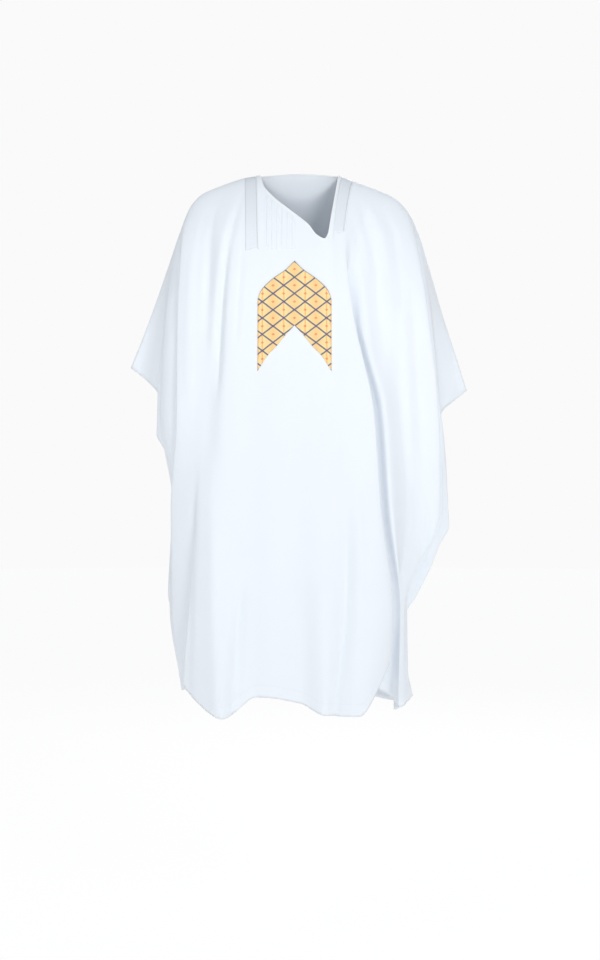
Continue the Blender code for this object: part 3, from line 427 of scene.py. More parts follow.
class Panel:
    """A whole front or back, as a smooth surface over cut and share of the way down."""

    def __init__(self, name, lines, folds, facing):
        self.name = name
        self.lines = lines
        self.folds = folds
        self.facing = facing
        self.cuts = [LEFT_CUT] + [line.cut for line in lines] + [RIGHT_CUT]
        self.hems = [LEFT_EDGE[-1].drop] + [line.hem for line in lines] + [RIGHT_EDGE[-1].drop]

    def hem(self, cut):
        return smooth_curve(self.cuts, self.hems, cut)

    def top(self, cut):
        if abs(cut) >= NECK_HALF:
            return seam_point(cut)[:2]
        if self.name == "back":
            return cut, -BACK_NECK_RISE * (1 - (cut / NECK_HALF) ** 2)
        return smooth_curve(NECK_CUTS, NECK_X, cut), smooth_curve(NECK_CUTS, NECK_DROPS, cut)

    def line_at(self, index, drop, share):
        """The x and depth of a line at a drop, or of a selvage at a share of its length."""
        if 0 < index < len(self.cuts) - 1:
            line = self.lines[index - 1]
            across = smooth_curve(SECTION_DROPS, line.across, drop)
            return across, smooth_curve(SECTION_DROPS, line.depth, drop)
        edge = LEFT_SIDE if index == 0 else RIGHT_SIDE
        x, opening, middle = edge_at(edge, edge[0][0] + (edge[0][-1] - edge[0][0]) * share)
        return x, middle + self.facing * max(opening, SEAM_GAP / 2)

    def section(self, cut, drop, share):
        """The x and depth at one place, from the lines on either side of it."""
        span = min(max(bisect_right(self.cuts, cut) - 1, 0), len(self.cuts) - 2)
        near = range(max(span - 1, 0), min(span + 2, len(self.cuts) - 1) + 1)
        places = [self.line_at(index, drop, share) for index in near]
        knots = [self.cuts[index] for index in near]
        return [smooth_curve(knots, [place[axis] for place in places], cut) for axis in range(2)]

    def fold_height(self, x, drop):
        """How far the soft folds lift the cloth outwards at one place."""
        lift = 0.0
        for fold in self.folds:
            top, bottom = fold.top[1], fold.bottom[1]
            if not top < drop < bottom + FOLD_TAIL:
                continue
            line = smooth_curve(
                (top, fold.middle[1], bottom), (fold.top[0], fold.middle[0], fold.bottom[0]), drop
            )
            if abs(x - line) > FOLD_REACH * fold.width:
                continue
            share = (drop - top) / (bottom - top)
            strength = smooth_step(0.0, FOLD_FADE, share)
            if not fold.to_hem:
                strength *= 1 - smooth_step(1 - FOLD_FADE, 1.0, share)
            lift += fold.height * strength * math.exp(-((x - line) / fold.width) ** 2)
        return lift

    def point(self, cut, share):
        """Where the middle of the cloth is, at a cut and a share of the way down."""
        top_x, top_drop = self.top(cut)
        seam_drop, seam_back = seam_point(cut)[1:]
        hem = self.hem(cut)
        drop = top_drop + (hem - top_drop) * share
        x, depth = self.section(cut, drop, share)
        if share < NECK_FADE:
            start = self.section(cut, top_drop, 0.0)[0]
            x += (top_x - start) * (1 - smooth_step(0.0, NECK_FADE, share))
        turn = min(max((drop - seam_drop) / (TURN_SHARE * (hem - seam_drop)), 0.0), 1.0)
        if self.name == "back" and abs(cut) < NECK_HALF:
            turn = max(turn, BACK_NECK_TURN * (1 - (cut / NECK_HALF) ** 2))
        rounding = math.sqrt(1 - (1 - turn) ** 2)
        seam_depth = seam_back + self.facing * SEAM_GAP / 2
        y = seam_depth + (depth - seam_depth) * rounding
        place = Vector((x * RIPPLE_ACROSS, self.facing * RIPPLE_APART, drop * RIPPLE_DOWN))
        ripple = noise.noise(place) * RIPPLE
        y += self.facing * (self.fold_height(x, drop) + ripple) * rounding
        if abs(cut) > SLEEVE_FOLD_FROM and share > 0:
            y = self.clear_of_other_side(y, cut, share, drop)
        return Vector((x, y, -drop))

    def clear_of_other_side(self, y, cut, share, drop):
        """Keeps a sleeve's front and back apart by the roundness of the fold between them."""
        edge, corner = (LEFT_SIDE, LEFT_CUT) if cut < 0 else (RIGHT_SIDE, RIGHT_CUT)
        outward = (abs(cut) - SLEEVE_FOLD_FROM) / (abs(corner) - SLEEVE_FOLD_FROM)
        seam_drop, seam_back = seam_point(cut)[1:]
        middle = seam_back + (edge_at(edge, drop)[2] - seam_point(corner)[2]) * outward
        turn = min((drop - seam_drop) / SLEEVE_FOLD_RADIUS, 1.0)
        radius = SLEEVE_FOLD_RADIUS * (1 - smooth_step(*SLEEVE_FOLD_ENDS, share))
        radius = max(radius, SEAM_GAP / 2)
        spacing = radius * math.sqrt(1 - (1 - turn) ** 2)
        return middle + self.facing * max(self.facing * (y - middle), spacing)

    def facing_at(self, cut, share):
        left = self.point(max(cut - SMALL, LEFT_CUT), share + SMALL)
        right = self.point(min(cut + SMALL, RIGHT_CUT), share + SMALL)
        above = self.point(cut, max(share - SMALL, SMALL))
        below = self.point(cut, share + 2 * SMALL)
        return ((below - above).cross(right - left) * -self.facing).normalized()


front = Panel("front", FRONT_LINES, FRONT_FOLDS, -1)
back = Panel("back", BACK_LINES, BACK_FOLDS, 1)
print("middle of the front hem", [round(value, 3) for value in front.point(0.0, 1.0)])

# %% [markdown]
# A cloth's look is a small graph of nodes: a place on the cloth goes in, and colour and relief come
# out. The robe's four cloths take the same few steps, so those steps get short names first. Every
# pattern reads the cloth's own UVs, which are in metres, or a number kept at each of its points,
# such as the distance to the nearest edge, so it stays on the cloth wherever a fold carries it.

# %% The steps of a cloth's look
SHEEN_ROUGHNESS = 0.45
SPECULAR = 0.3
CROSS_RIBS = 0.35
THREAD_SHOWS = 0.72
Stitch = namedtuple("Stitch", "inset pitch width")


def plain_finish(name, color, roughness, sheen):
    material = bpy.data.materials.new(name)
    material.use_nodes = True
    shader = material.node_tree.nodes["Principled BSDF"]
    shader.inputs["Base Color"].default_value = (*color, 1.0)
    shader.inputs["Roughness"].default_value = roughness
    shader.inputs["Sheen Weight"].default_value = sheen
    shader.inputs["Sheen Roughness"].default_value = SHEEN_ROUGHNESS
    shader.inputs["Specular IOR Level"].default_value = SPECULAR
    return material, shader


class ClothLook:
    """One cloth's material, and the steps that its colour and its relief are made of."""

    def __init__(self, name, color, roughness, sheen):
        self.material, self.shader = plain_finish(name, color, roughness, sheen)
        self.nodes = self.material.node_tree.nodes
        self.links = self.material.node_tree.links
        uvs = self.nodes.new("ShaderNodeUVMap")
        uvs.uv_map = "Cloth"
        self.place = uvs.outputs["UV"]
        axes = self.nodes.new("ShaderNodeSeparateXYZ")
        self.links.new(self.place, axes.inputs[0])
        self.across = axes.outputs["X"]
        self.along = axes.outputs["Y"]

    def feed(self, sockets, values):
        for socket, value in zip(sockets, values):
            if hasattr(value, "is_output"):
                self.links.new(value, socket)
            else:
                socket.default_value = (*value, 1.0) if isinstance(value, tuple) else value

    def calc(self, operation, first, second=0.0):
        node = self.nodes.new("ShaderNodeMath")
        node.operation = operation
        self.feed(node.inputs, (first, second))
        return node.outputs[0]

    def turns(self, distance, pitches):
        """A distance in metres as an angle, for waves with so many pitches a metre."""
        return self.calc("MULTIPLY", distance, pitches * 2 * math.pi)

    def mixed(self, factor, first, second):
        node = self.nodes.new("ShaderNodeMix")
        node.data_type = "RGBA"
        self.feed((node.inputs[0], node.inputs[6], node.inputs[7]), (factor, first, second))
        return node.outputs[2]

    def laid_over(self, under, cover, color, strength):
        """One colour laid over another wherever the cover is, as strongly as said."""
        return self.mixed(self.calc("MULTIPLY", cover, strength), under, color)

    def kept(self, name):
        """A number that the piece keeps at each of its points."""
        node = self.nodes.new("ShaderNodeAttribute")
        node.attribute_name = name
        return node.outputs["Fac"]

    def clouds(self, scale, detail=2.0):
        node = self.nodes.new("ShaderNodeTexNoise")
        node.inputs["Scale"].default_value = scale
        node.inputs["Detail"].default_value = detail
        self.links.new(self.place, node.inputs["Vector"])
        return node.outputs["Fac"]

    def twill(self, threads):
        warp = self.turns(self.across, threads)
        weft = self.turns(self.along, threads)
        ribs = self.calc("SINE", self.calc("ADD", warp, weft))
        cross = self.calc("SINE", self.calc("SUBTRACT", warp, weft))
        return self.calc("ADD", ribs, self.calc("MULTIPLY", cross, CROSS_RIBS))

    def stitches(self, stitch, edge_distance, along):
        """One where a stitch lies, at its inset from an edge, in dashes along it."""
        off = self.calc("ABSOLUTE", self.calc("SUBTRACT", edge_distance, stitch.inset))
        on_line = self.calc("LESS_THAN", off, stitch.width / 2)
        beat = self.calc("FRACT", self.calc("DIVIDE", along, stitch.pitch))
        return self.calc("MULTIPLY", on_line, self.calc("LESS_THAN", beat, THREAD_SHOWS))

    def finish(self, color, relief, strength, depth):
        bump = self.nodes.new("ShaderNodeBump")
        bump.inputs["Strength"].default_value = strength
        bump.inputs["Distance"].default_value = depth
        self.links.new(color, self.shader.inputs["Base Color"])
        self.links.new(relief, bump.inputs["Height"])
        self.links.new(bump.outputs[0], self.shader.inputs["Normal"])
        return self.material


print("steps", [step for step in vars(ClothLook) if not step.startswith("_")])

# %% [markdown]
# Suiting for a robe like this is a smooth, fine twill: near white with a cool cast, matte, with a
# soft sheen where light grazes it. Its weave is far finer than the eye resolves at arm's length, so
# it is a bump of crossed waves. Slow noise varies the tone a little, as pressing and handling do. A
# row of stitches and a step in the bump show how far the hem is turned up.

# %% Suiting
SUITING = (0.895, 0.940, 0.992)
SUITING_PRESSED = (0.865, 0.915, 0.975)
SUITING_THREADS = 1100
PRESSING_SCALE = 5.5
PRESSING_DETAIL = 3.0
HEM_STITCH = Stitch(inset=0.024, pitch=0.0032, width=0.0009)
HEM_THREAD = (0.78, 0.83, 0.90)
HEM_STEP = 3.0
HEM_DIMPLE = -4.0


def suiting_cloth():
    look = ClothLook("Suiting", SUITING, roughness=0.62, sheen=0.18)
    hem_distance = look.kept("hem_distance")
    in_hem = look.calc("LESS_THAN", hem_distance, HEM_STITCH.inset)
    sewn = look.stitches(HEM_STITCH, hem_distance, look.across)
    pressed = look.clouds(PRESSING_SCALE, PRESSING_DETAIL)
    tone = look.laid_over(SUITING, pressed, SUITING_PRESSED, strength=0.55)
    tone = look.laid_over(tone, in_hem, SUITING, strength=0.35)
    tone = look.laid_over(tone, sewn, HEM_THREAD, strength=0.50)
    step = look.calc("MULTIPLY", in_hem, HEM_STEP)
    dimple = look.calc("MULTIPLY", sewn, HEM_DIMPLE)
    relief = look.calc("ADD", look.twill(SUITING_THREADS), look.calc("ADD", step, dimple))
    return look.finish(tone, relief, strength=0.28, depth=0.00012)


suiting = suiting_cloth()
print("suiting twill of", SUITING_THREADS, "threads a metre")

# %% [markdown]
# Both panels are woven into one grid each: columns across the cloth and rows down it. The rows stand
# closest where the cloth turns over the shoulder, and the columns closest at the chest. The grid
# carries the cloth's UVs in metres and, at each point, how far it lies above the hem. Solidify then
# gives the sheet its thinness.

# %% Weave the front and the back
CLOTH_THICKNESS = 0.0007
COLUMN_STEPS = ((0.083, 0.0022), (0.30, 0.0034), (0.70, 0.0095))
TURN_ROWS = 22
TURN_DEGREES = 80
FALL_ROWS = 118


def even_places(low, high, step):
    count = max(1, math.ceil((high - low) / step))
    return [low + (high - low) * place / count for place in range(count + 1)]


def cloth_columns():
    cuts = set()
    for corner in (LEFT_CUT, RIGHT_CUT):
        low = 0.0
        for reach, step in COLUMN_STEPS:
            high = min(reach, abs(corner))
            cuts.update(round(math.copysign(place, corner), 6) for place in even_places(low, high, step))
            low = high
    return sorted(cuts)


def cloth_rows():
    angles = [math.radians(TURN_DEGREES * row / TURN_ROWS) for row in range(TURN_ROWS + 1)]
    shares = [TURN_SHARE * (1 - math.cos(angle)) for angle in angles]
    start = shares[-1]
    return shares + [start + (1 - start) * row / FALL_ROWS for row in range(1, FALL_ROWS + 1)]


def cloth_object(name, points, faces, uvs, material):
    """A piece from its points and faces, with a UV in metres for each point."""
    mesh = bpy.data.meshes.new(name)
    mesh.from_pydata(points, [], faces)
    layer = mesh.uv_layers.new(name="Cloth")
    for loop in mesh.loops:
        layer.data[loop.index].uv = uvs[loop.vertex_index]
    mesh.materials.append(material)
    mesh.shade_smooth()
    piece = bpy.data.objects.new(name, mesh)
    bpy.context.scene.collection.objects.link(piece)
    return piece


def select_only(piece):
    for chosen in bpy.context.selected_objects:
        chosen.select_set(False)
    bpy.context.view_layer.objects.active = piece
    piece.select_set(True)


def sheet_object(name, grid, uvs, material, thickness, facing=-1, values=None, offset=0.0):
    """A sheet of cloth through a grid of points, made solid. The values are kept at its points."""
    width = len(grid[0])
    faces = []
    for row in range(len(grid) - 1):
        for column in range(width - 1):
            corner = row * width + column
            face = (corner, corner + width, corner + width + 1, corner + 1)
            faces.append(face if facing < 0 else face[::-1])
    points = [point for row in grid for point in row]
    piece = cloth_object(name, points, faces, [uv for row in uvs for uv in row], material)
    for key, numbers in (values or {}).items():
        attribute = piece.data.attributes.new(key, "FLOAT", "POINT")
        attribute.data.foreach_set("value", [number for row in numbers for number in row])
    wall = piece.modifiers.new("Wall", "SOLIDIFY")
    wall.thickness = thickness
    wall.offset = offset
    wall.use_rim = True
    select_only(piece)
    bpy.ops.object.modifier_apply(modifier="Wall")
    return piece


def woven(panel):
    cuts = cloth_columns()
    shares = cloth_rows()
    grid = [[panel.point(cut, share) for cut in cuts] for share in shares]
    lengths = [panel.hem(cut) - panel.top(cut)[1] for cut in cuts]
    uvs = [[(cut, -share * length) for cut, length in zip(cuts, lengths)] for share in shares]
    hems = [[(1 - share) * length for length in lengths] for share in shares]
    name = f"{panel.name}_cloth"
    piece = sheet_object(
        name, grid, uvs, suiting, CLOTH_THICKNESS, panel.facing, {"hem_distance": hems}
    )
    print(name, "columns", len(cuts), "rows", len(shares))
    return piece


front_cloth = woven(front)
back_cloth = woven(back)

# %% [markdown]
# Everything sewn onto the front is placed by where it shows: its x and drop. Going back from there
# to a cut and a share keeps each trim lying exactly on the cloth, folds and all.

# %% Finding a place on the cloth
CHEST_REACH = 0.240
TRIES = 6


def share_at(panel, cut, drop):
    top = panel.top(cut)[1]
    return min(max((drop - top) / (panel.hem(cut) - top), 0.0), 1.0)


def cut_for(panel, x, share=None, drop=None):
    """The cut whose point shows at x, at a share of the way down or at a drop."""
    cut = x
    for _ in range(TRIES):
        place = share if drop is None else share_at(panel, cut, drop)
        cut = min(max(cut + x - panel.point(cut, place).x, -CHEST_REACH), CHEST_REACH)
    return cut


def lifted(panel, cut, share, lift):
    """A point lifted off the outer side of the cloth."""
    return panel.point(cut, share) + panel.facing_at(cut, share) * (CLOTH_THICKNESS / 2 + lift)


def lifted_at(panel, x, drop, lift):
    cut = cut_for(panel, x, drop=drop)
    return lifted(panel, cut, share_at(panel, cut, drop), lift)


print("chest middle", [round(value, 4) for value in lifted_at(front, 0.0, 0.3, 0.0)])

# %% [markdown]
# Two bands of pale grey satin run from the shoulders down the chest. Satin has long floats, so it
# is smoother and glossier than the suiting, with faint ribs along its length. In the photograph a
# band grows paler towards its foot, so its colour follows the way down. Both edges are sewn down.

# %% Satin bands
Band = namedtuple("Band", "name node outer_top outer_foot inner_top inner_foot foot")
BANDS = (
    Band("left_satin", "satin_band_left", -0.1140, -0.1095, -0.0912, -0.0850, 0.174),
    Band("right_satin", "satin_band_right", 0.1120, 0.0890, 0.0890, 0.0680, 0.134),
)
BAND_THICKNESS = 0.0003
BAND_LIFT = 0.0003
BAND_COLUMNS = 12
BAND_ROWS = 60
BAND_STITCH = Stitch(inset=0.0016, pitch=0.0028, width=0.0006)
STRIP_START = 0.0004
STRIP_EASE = 0.55
SATIN = (0.745, 0.785, 0.835)
SATIN_LIGHT = (0.850, 0.895, 0.945)
SATIN_PAINTED_SHEEN = (0.840, 0.880, 0.920)
SATIN_THREAD = (0.620, 0.670, 0.730)
SATIN_RIBS = 620
SATIN_CLOUDS = 60.0
SATIN_DIMPLE = -3.0


def satin_cloth():
    look = ClothLook("Satin", SATIN, roughness=0.36, sheen=0.10)
    sewn = look.stitches(BAND_STITCH, look.kept("edge_distance"), look.along)
    tone = look.laid_over(SATIN, look.kept("way_down"), SATIN_LIGHT, strength=0.75)
    # Cloudy patches of a paler colour are painted sheen: the satin's gloss put into its colour.
    tone = look.laid_over(tone, look.clouds(SATIN_CLOUDS), SATIN_PAINTED_SHEEN, strength=0.18)
    tone = look.laid_over(tone, sewn, SATIN_THREAD, strength=0.40)
    ribs = look.calc("SINE", look.turns(look.across, SATIN_RIBS))
    relief = look.calc("ADD", ribs, look.calc("MULTIPLY", sewn, SATIN_DIMPLE))
    return look.finish(tone, relief, strength=0.30, depth=0.00010)


def strip_x(strip, part, over):
    """Where a strip lies, part of the way down it and over its width from its outer side."""
    outer = strip.outer_top + (strip.outer_foot - strip.outer_top) * part
    inner = strip.inner_top + (strip.inner_foot - strip.inner_top) * part
    return outer + (inner - outer) * over


def strip_shares(strip, rows):
    """The shares of a strip's rows, closer together where it turns over the shoulder."""
    foot = share_at(front, cut_for(front, strip.outer_foot, drop=strip.foot), strip.foot)
    even = 1 - STRIP_START - STRIP_EASE
    parts = [row / rows for row in range(rows + 1)]
    return [(part, foot * (STRIP_START + part * part * STRIP_EASE + part * even)) for part in parts]


def band_piece(band):
    grid, uvs, edges, downs = [], [], [], []
    for part, share in strip_shares(band, BAND_ROWS):
        width = abs(strip_x(band, part, 1.0) - strip_x(band, part, 0.0))
        overs = [column / BAND_COLUMNS for column in range(BAND_COLUMNS + 1)]
        if strip_x(band, part, 0.0) > strip_x(band, part, 1.0):
            overs.reverse()
        cuts = [cut_for(front, strip_x(band, part, over), share=share) for over in overs]
        grid.append([lifted(front, cut, share, BAND_LIFT) for cut in cuts])
        uvs.append([(over * width, -part * band.foot) for over in overs])
        edges.append([min(over, 1 - over) * width for over in overs])
        downs.append([part for _ in overs])
    values = {"edge_distance": edges, "way_down": downs}
    return sheet_object(band.name, grid, uvs, satin, BAND_THICKNESS, values=values)


satin = satin_cloth()
bands = [band_piece(band) for band in BANDS]
print("bands", [band.name for band in bands])

# %% [markdown]
# White piping edges the bands, and a bias binding wraps the cut edge of the neck. Both are round in
# section, so both are made the same way: rings of points around a path, joined into a closed tube,
# flatter for the binding than for the piping. A slanting wave in the bump is the cord's twist.

# %% Piping and binding
Ring = namedtuple("Ring", "centre side out")
PIPED_EDGES = (
    Band("left_piping", "piping_left", -0.0908, -0.0846, -0.0886, -0.0824, 0.172),
    Band("right_piping", "piping_right", 0.1146, 0.0916, 0.1124, 0.0894, 0.134),
)
PIPING_RADIUS = 0.0010
PIPING_LIFT = 0.7
PIPING_ROWS = 110
BINDING_HALF_WIDTH = 0.0019
BINDING_HALF_THICKNESS = 0.0010
BINDING_INSET = 0.55
BINDING_GAP = 0.002
NECK_STEPS = 150
RING_POINTS = 10
PIPING_COLOR = (0.93, 0.95, 0.98)
PIPING_LIGHT = (0.95, 0.97, 0.99)
PIPING_SHADE = (0.74, 0.79, 0.86)
PIPING_SHADED = 0.14
CORD_TURNS = 420
CORD_STRANDS = 2


def piping_cloth():
    look = ClothLook("Piping", PIPING_COLOR, roughness=0.45, sheen=0.12)
    slant = look.calc("ADD", look.turns(look.along, CORD_TURNS), look.turns(look.across, CORD_STRANDS))
    twist = look.calc("SINE", slant)
    shade = look.calc("MULTIPLY", look.calc("ADD", twist, 1.0), PIPING_SHADED)
    tone = look.mixed(shade, PIPING_LIGHT, PIPING_SHADE)
    return look.finish(tone, twist, strength=0.4, depth=0.00020)


def tube_object(name, rings, half_width, half_thickness):
    points, faces, uvs = [], [], []
    travelled = 0.0
    for index, ring in enumerate(rings):
        if index:
            travelled += (ring.centre - rings[index - 1].centre).length
        for step in range(RING_POINTS):
            angle = 2 * math.pi * step / RING_POINTS
            wide = ring.side * (half_width * math.cos(angle))
            thick = ring.out * (half_thickness * math.sin(angle))
            points.append(ring.centre + wide + thick)
            uvs.append((step / RING_POINTS, travelled))
    for index in range(len(rings) - 1):
        for step in range(RING_POINTS):
            here = index * RING_POINTS + step
            there = index * RING_POINTS + (step + 1) % RING_POINTS
            faces.append((here, there, there + RING_POINTS, here + RING_POINTS))
    faces.append(tuple(range(RING_POINTS))[::-1])
    last = (len(rings) - 1) * RING_POINTS
    faces.append(tuple(last + step for step in range(RING_POINTS)))
    piece = cloth_object(name, points, faces, uvs, piping)
    select_only(piece)
    bpy.ops.object.mode_set(mode="EDIT")
    bpy.ops.mesh.select_all(action="SELECT")
    bpy.ops.mesh.normals_make_consistent(inside=False)
    bpy.ops.object.mode_set(mode="OBJECT")
    return piece


def piping_piece(strip):
    rings = []
    for part, share in strip_shares(strip, PIPING_ROWS):
        cut = cut_for(front, strip_x(strip, part, 0.5), share=share)
        out = front.facing_at(cut, share)
        side = Vector((1, 0, 0)) - out * out.x
        centre = lifted(front, cut, share, PIPING_RADIUS * PIPING_LIFT)
        rings.append(Ring(centre, side.normalized(), out))
    return tube_object(strip.name, rings, PIPING_RADIUS, PIPING_RADIUS)


def binding_piece(panel):
    rings = []
    for step in range(NECK_STEPS + 1):
        part = BINDING_GAP + (1 - 2 * BINDING_GAP) * step / NECK_STEPS
        cut = -NECK_HALF + 2 * NECK_HALF * part
        along = (panel.point(cut + SMALL, 0.0) - panel.point(cut - SMALL, 0.0)).normalized()
        out = panel.facing_at(cut, 0.0)
        side = along.cross(out).normalized()
        if side.z > 0:
            side = -side
        centre = panel.point(cut, 0.0) + side * BINDING_HALF_WIDTH * BINDING_INSET
        rings.append(Ring(centre, side, out))
    return tube_object(f"{panel.name}_neck_bias", rings, BINDING_HALF_WIDTH, BINDING_HALF_THICKNESS)


piping = piping_cloth()
pipings = [piping_piece(strip) for strip in PIPED_EDGES]
bindings = [binding_piece(panel) for panel in (front, back)]
print("piping", len(pipings), "binding", len(bindings))

# %% [markdown]
# Six pintucks stand beside the slope of the neck. Each is a pinch of the cloth sewn down its length,
# so it is a low round ridge, with a line of shade on each side. They start just under the binding
# and end level with one another.

# %% Pintucks
TUCK_COUNT = 6
TUCK_FIRST = -0.0650
TUCK_SPACING = 0.0104
TUCK_WIDTH = 0.0056
TUCK_HEIGHT = 0.0012
TUCK_WALL = 0.0003
TUCK_LIFT = 0.0001
TUCK_BLUNTNESS = 10
TUCK_FOOT = 0.172
TUCK_BELOW_NECK = 0.010
TUCK_ROWS = 70
TUCK_PROFILE = (-1.0, -0.8, -0.55, -0.28, 0.0, 0.28, 0.55, 0.8, 1.0)


def tuck_piece(number):
    middle = TUCK_FIRST + TUCK_SPACING * number
    top = front.top(cut_for(front, middle, share=0.0))[1] + TUCK_BELOW_NECK
    grid, uvs = [], []
    for row in range(TUCK_ROWS + 1):
        part = row / TUCK_ROWS
        drop = top + (TUCK_FOOT - top) * part
        ends = math.sqrt(max(0.0, 1 - (2 * part - 1) ** TUCK_BLUNTNESS))
        points = []
        for over in TUCK_PROFILE:
            rise = TUCK_HEIGHT * (1 - over * over) ** 2 * ends
            points.append(lifted_at(front, middle + over * TUCK_WIDTH / 2, drop, TUCK_LIFT + rise))
        grid.append(points)
        uvs.append([(over * TUCK_WIDTH / 2, -drop) for over in TUCK_PROFILE])
    return sheet_object(f"pintuck_{number + 1}", grid, uvs, suiting, TUCK_WALL, offset=-1.0)


tucks = [tuck_piece(number) for number in range(TUCK_COUNT)]
print("tucks", len(tucks))

# %% [markdown]
# The chest patch is woven, not printed: slate lines cross into diamonds on an amber and peach
# ground, with a fine orange stripe down every other column and a small red-orange motif in each
# diamond. The pattern is a common lattice, so it is worked out from its pitch. The two sets of
# slanting lines are the whole numbers of across plus down and across minus down.

# %% Lattice cloth
DIAMOND_WIDE = 0.0430
DIAMOND_TALL = 0.0330
LATTICE_TOP = 0.0008
LATTICE_THREADS = 900
WOBBLE_SCALE = 55.0
WOBBLE = 0.05
LINE_FROM = 0.448
MOTIF_REACH = 0.080
MOTIF_HOLE = 0.022
STRIPE_REACH = 0.030
GROUND_SCALE = 38.0
GROUND_DETAIL = 4.0
RIM_WIDTH = 0.0011
FRAY_DEPTH = 0.0022
FRAY_WAVE = 0.0016
LINE_HEIGHT = 2.0
LATTICE_SLATE = (0.055, 0.092, 0.235)
AMBER = (0.970, 0.620, 0.250)
PEACH = (0.970, 0.690, 0.340)
CREAM = (0.980, 0.810, 0.420)
STRIPE_ORANGE = (0.980, 0.480, 0.130)
MOTIF_RED = (0.860, 0.180, 0.080)
RIM_DARK = (0.13, 0.13, 0.20)


def lattice_cloth():
    look = ClothLook("Lattice", AMBER, roughness=0.70, sheen=0.20)
    uneven = look.calc("SUBTRACT", look.clouds(WOBBLE_SCALE), 0.5)
    shake = look.calc("MULTIPLY", uneven, WOBBLE)
    column = look.calc("ADD", look.calc("DIVIDE", look.across, DIAMOND_WIDE), shake)
    row = look.calc("DIVIDE", look.calc("ADD", look.along, LATTICE_TOP), DIAMOND_TALL)

    def away_from_whole(value):
        return look.calc("ABSOLUTE", look.calc("SUBTRACT", look.calc("FRACT", value), 0.5))

    rising = away_from_whole(look.calc("ADD", column, row))
    falling = away_from_whole(look.calc("SUBTRACT", column, row))
    nearest = look.calc("MAXIMUM", rising, falling)
    lines = look.calc("GREATER_THAN", nearest, LINE_FROM)
    motif = look.calc("LESS_THAN", nearest, MOTIF_REACH)
    motif_hole = look.calc("LESS_THAN", nearest, MOTIF_HOLE)
    from_stripe = away_from_whole(column)
    stripe = look.calc("LESS_THAN", from_stripe, STRIPE_REACH)
    near_stripe = look.calc("SUBTRACT", 1.0, look.calc("MULTIPLY", from_stripe, 2.0))
    rim = look.calc("LESS_THAN", look.kept("edge_distance"), RIM_WIDTH)
    wave = look.calc("MULTIPLY", look.calc("SINE", look.turns(row, 1)), FRAY_WAVE)
    frayed = look.calc("LESS_THAN", look.kept("side_distance"), look.calc("ADD", wave, FRAY_DEPTH))
    ground = look.mixed(look.clouds(GROUND_SCALE, GROUND_DETAIL), AMBER, PEACH)
    ground = look.laid_over(ground, near_stripe, CREAM, strength=0.80)
    ground = look.laid_over(ground, stripe, STRIPE_ORANGE, strength=0.75)
    ground = look.laid_over(ground, motif, MOTIF_RED, strength=0.75)
    ground = look.laid_over(ground, motif_hole, PEACH, strength=0.60)
    ground = look.laid_over(ground, frayed, STRIPE_ORANGE, strength=0.55)
    ground = look.laid_over(ground, lines, LATTICE_SLATE, strength=0.92)
    ground = look.laid_over(ground, rim, RIM_DARK, strength=0.80)
    raised = look.calc("MULTIPLY", lines, LINE_HEIGHT)
    relief = look.calc("ADD", look.twill(LATTICE_THREADS), raised)
    return look.finish(ground, relief, strength=0.35, depth=0.00018)


lattice = lattice_cloth()
print("lattice pitch", DIAMOND_WIDE, "by", DIAMOND_TALL)

# %% [markdown]
# The patch itself is a pointed arch above and a V notch below, cut so that its lower corners hang as
# two points. Its grid follows both outlines, and it is laid on the cloth a thread's thickness out.

# %% Chest patch
PATCH_MIDDLE = -0.010
PatchPoint = namedtuple("PatchPoint", "half drop")
PATCH_ARCH = (
    PatchPoint(0.000, 0.197),
    PatchPoint(0.018, 0.215),
    PatchPoint(0.042, 0.232),
    PatchPoint(0.060, 0.248),
    PatchPoint(0.070, 0.262),
    PatchPoint(0.074, 0.276),
)
PATCH_NOTCH = (
    PatchPoint(0.000, 0.328),
    PatchPoint(0.019, 0.349),
    PatchPoint(0.035, 0.369),
    PatchPoint(0.053, 0.388),
    PatchPoint(0.074, 0.420),
)
PATCH_COLUMNS = 56
PATCH_ROWS = 60
PATCH_THICKNESS = 0.0007
PATCH_LIFT = 0.0008
STEEP_FROM = 0.05
STEEP_SLANT = 0.62
ARCH_SLANT = 0.78


def outline_drop(outline, half):
    return smooth_curve(*zip(*outline), half)


def patch_piece():
    widest = PATCH_ARCH[-1].half
    grid, uvs, edges, sides = [], [], [], []
    for row in range(PATCH_ROWS + 1):
        points, places, rims, selvages = [], [], [], []
        for column in range(PATCH_COLUMNS + 1):
            half = widest * (2 * column / PATCH_COLUMNS - 1)
            top = outline_drop(PATCH_ARCH, abs(half))
            foot = outline_drop(PATCH_NOTCH, abs(half))
            drop = top + (foot - top) * row / PATCH_ROWS
            points.append(lifted_at(front, PATCH_MIDDLE + half, drop, PATCH_LIFT))
            places.append((half, PATCH_ARCH[0].drop - drop))
            slant = STEEP_SLANT if abs(half) > STEEP_FROM else ARCH_SLANT
            rims.append((drop - top) * slant)
            selvages.append(widest - abs(half))
        grid.append(points)
        uvs.append(places)
        edges.append(rims)
        sides.append(selvages)
    values = {"edge_distance": edges, "side_distance": sides}
    return sheet_object("woven_patch", grid, uvs, lattice, PATCH_THICKNESS, values=values)


patch = patch_piece()
print("patch", [round(value, 3) for value in patch.dimensions])

# %% [markdown]
# Each new piece now takes the place of its plain solid. The solids stay for collision, and the new
# pieces ride on the one body that the robe is. The area of one side of each cloth is printed: the
# front and back are near rectangles, wider than they are long, less the neck.

# %% Hand the pieces to the frame
def hand_over(piece, node):
    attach(piece, "root")
    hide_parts(node)


hand_over(front_cloth, "front_panel")
hand_over(back_cloth, "back_panel")
for piece, band in zip(bands, BANDS):
    hand_over(piece, band.node)
for piece, strip in zip(pipings, PIPED_EDGES):
    hand_over(piece, strip.node)
for piece, node in zip(bindings, ("neck_binding_front", "neck_binding_back")):
    hand_over(piece, node)
for number, piece in enumerate(tucks, 1):
    hand_over(piece, f"tuck_{number}")
hand_over(patch, "chest_patch")


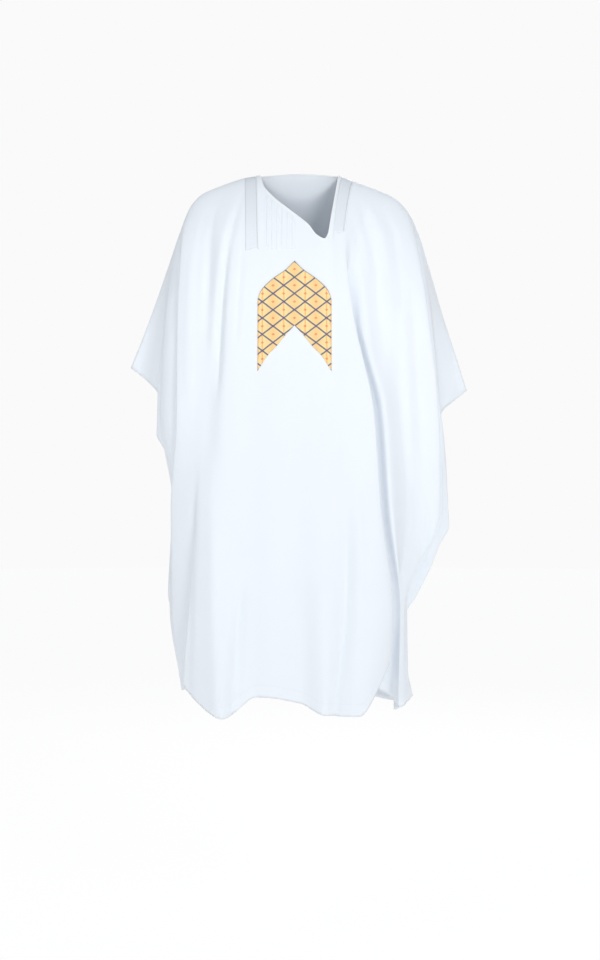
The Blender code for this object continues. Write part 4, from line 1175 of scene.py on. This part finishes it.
def side_area(piece):
    return sum(face.area for face in piece.data.polygons) / 2


for piece in (front_cloth, back_cloth, patch, *bands):
    print(piece.name, "area of one side", round(side_area(piece), 4))

# %% [markdown]
# The photograph is a plain studio one: white ground, light from all round, and a little more of it
# from the front right. A wide pale floor that glows a little, a soft world and four soft lamps give
# that, and keep the shadows in the folds pale. The world is brighter as a background than as a
# light, so that the near-white cloth keeps its tones in front of white.

# %% Floor and light
FLOOR_DROP = 1.62
FLOOR_RADIUS = 14
FLOOR_SIDES = 96
FLOOR_GREY = (0.10, 0.10, 0.10)
FLOOR_GLOW = 0.905
CAMERA_WHITE = 0.955
WORLD_COLOR = (0.93, 0.965, 1.0)
WORLD_LIGHT = 0.40
WHITE = (1.0, 1.0, 1.0)
LAMP_AIM = (0, 0, -0.6)
Lamp = namedtuple("Lamp", "name place energy size color")
LAMPS = (
    Lamp("Key", (1.4, -2.9, 0.8), 37, 1.0, WHITE),
    Lamp("Fill", (-1.6, -2.8, 0.6), 13, 1.6, (0.94, 0.97, 1.0)),
    Lamp("Top", (-1.5, -1.7, 1.9), 11, 1.2, WHITE),
    Lamp("Rear", (0.6, 2.8, 1.0), 34, 1.8, WHITE),
)

bpy.ops.mesh.primitive_circle_add(
    vertices=FLOOR_SIDES, radius=FLOOR_RADIUS, fill_type="NGON", location=(0, 0, -FLOOR_DROP)
)
floor = bpy.context.object
floor.name = "floor"
pale, floor_shader = plain_finish("Pale floor", FLOOR_GREY, roughness=0.9, sheen=0.0)
floor_shader.inputs["Emission Color"].default_value = (*WHITE, 1.0)
floor_shader.inputs["Emission Strength"].default_value = FLOOR_GLOW
floor.data.materials.append(pale)

for lamp in LAMPS:
    light = bpy.data.lights.new(lamp.name, "AREA")
    light.energy = lamp.energy
    light.size = lamp.size
    light.color = lamp.color
    holder = bpy.data.objects.new(lamp.name, light)
    holder.location = lamp.place
    holder.rotation_euler = (Vector(LAMP_AIM) - holder.location).to_track_quat("-Z", "Y").to_euler()
    bpy.context.scene.collection.objects.link(holder)

world = bpy.data.worlds.new("Studio")
bpy.context.scene.world = world
world.use_nodes = True
world_nodes = world.node_tree.nodes
world_links = world.node_tree.links
backing = world_nodes["Background"]
backing.inputs["Color"].default_value = (*WORLD_COLOR, 1.0)
backing.inputs["Strength"].default_value = WORLD_LIGHT
shown = world_nodes.new("ShaderNodeBackground")
shown.inputs["Color"].default_value = (CAMERA_WHITE, CAMERA_WHITE, CAMERA_WHITE, 1.0)
rays = world_nodes.new("ShaderNodeLightPath")
either = world_nodes.new("ShaderNodeMixShader")
world_links.new(rays.outputs["Is Camera Ray"], either.inputs[0])
world_links.new(backing.outputs[0], either.inputs[1])
world_links.new(shown.outputs[0], either.inputs[2])
world_links.new(either.outputs[0], world_nodes["World Output"].inputs["Surface"])
bpy.context.scene.view_settings.view_transform = "Standard"
print("lamps", [lamp.name for lamp in LAMPS])

# %% [markdown]
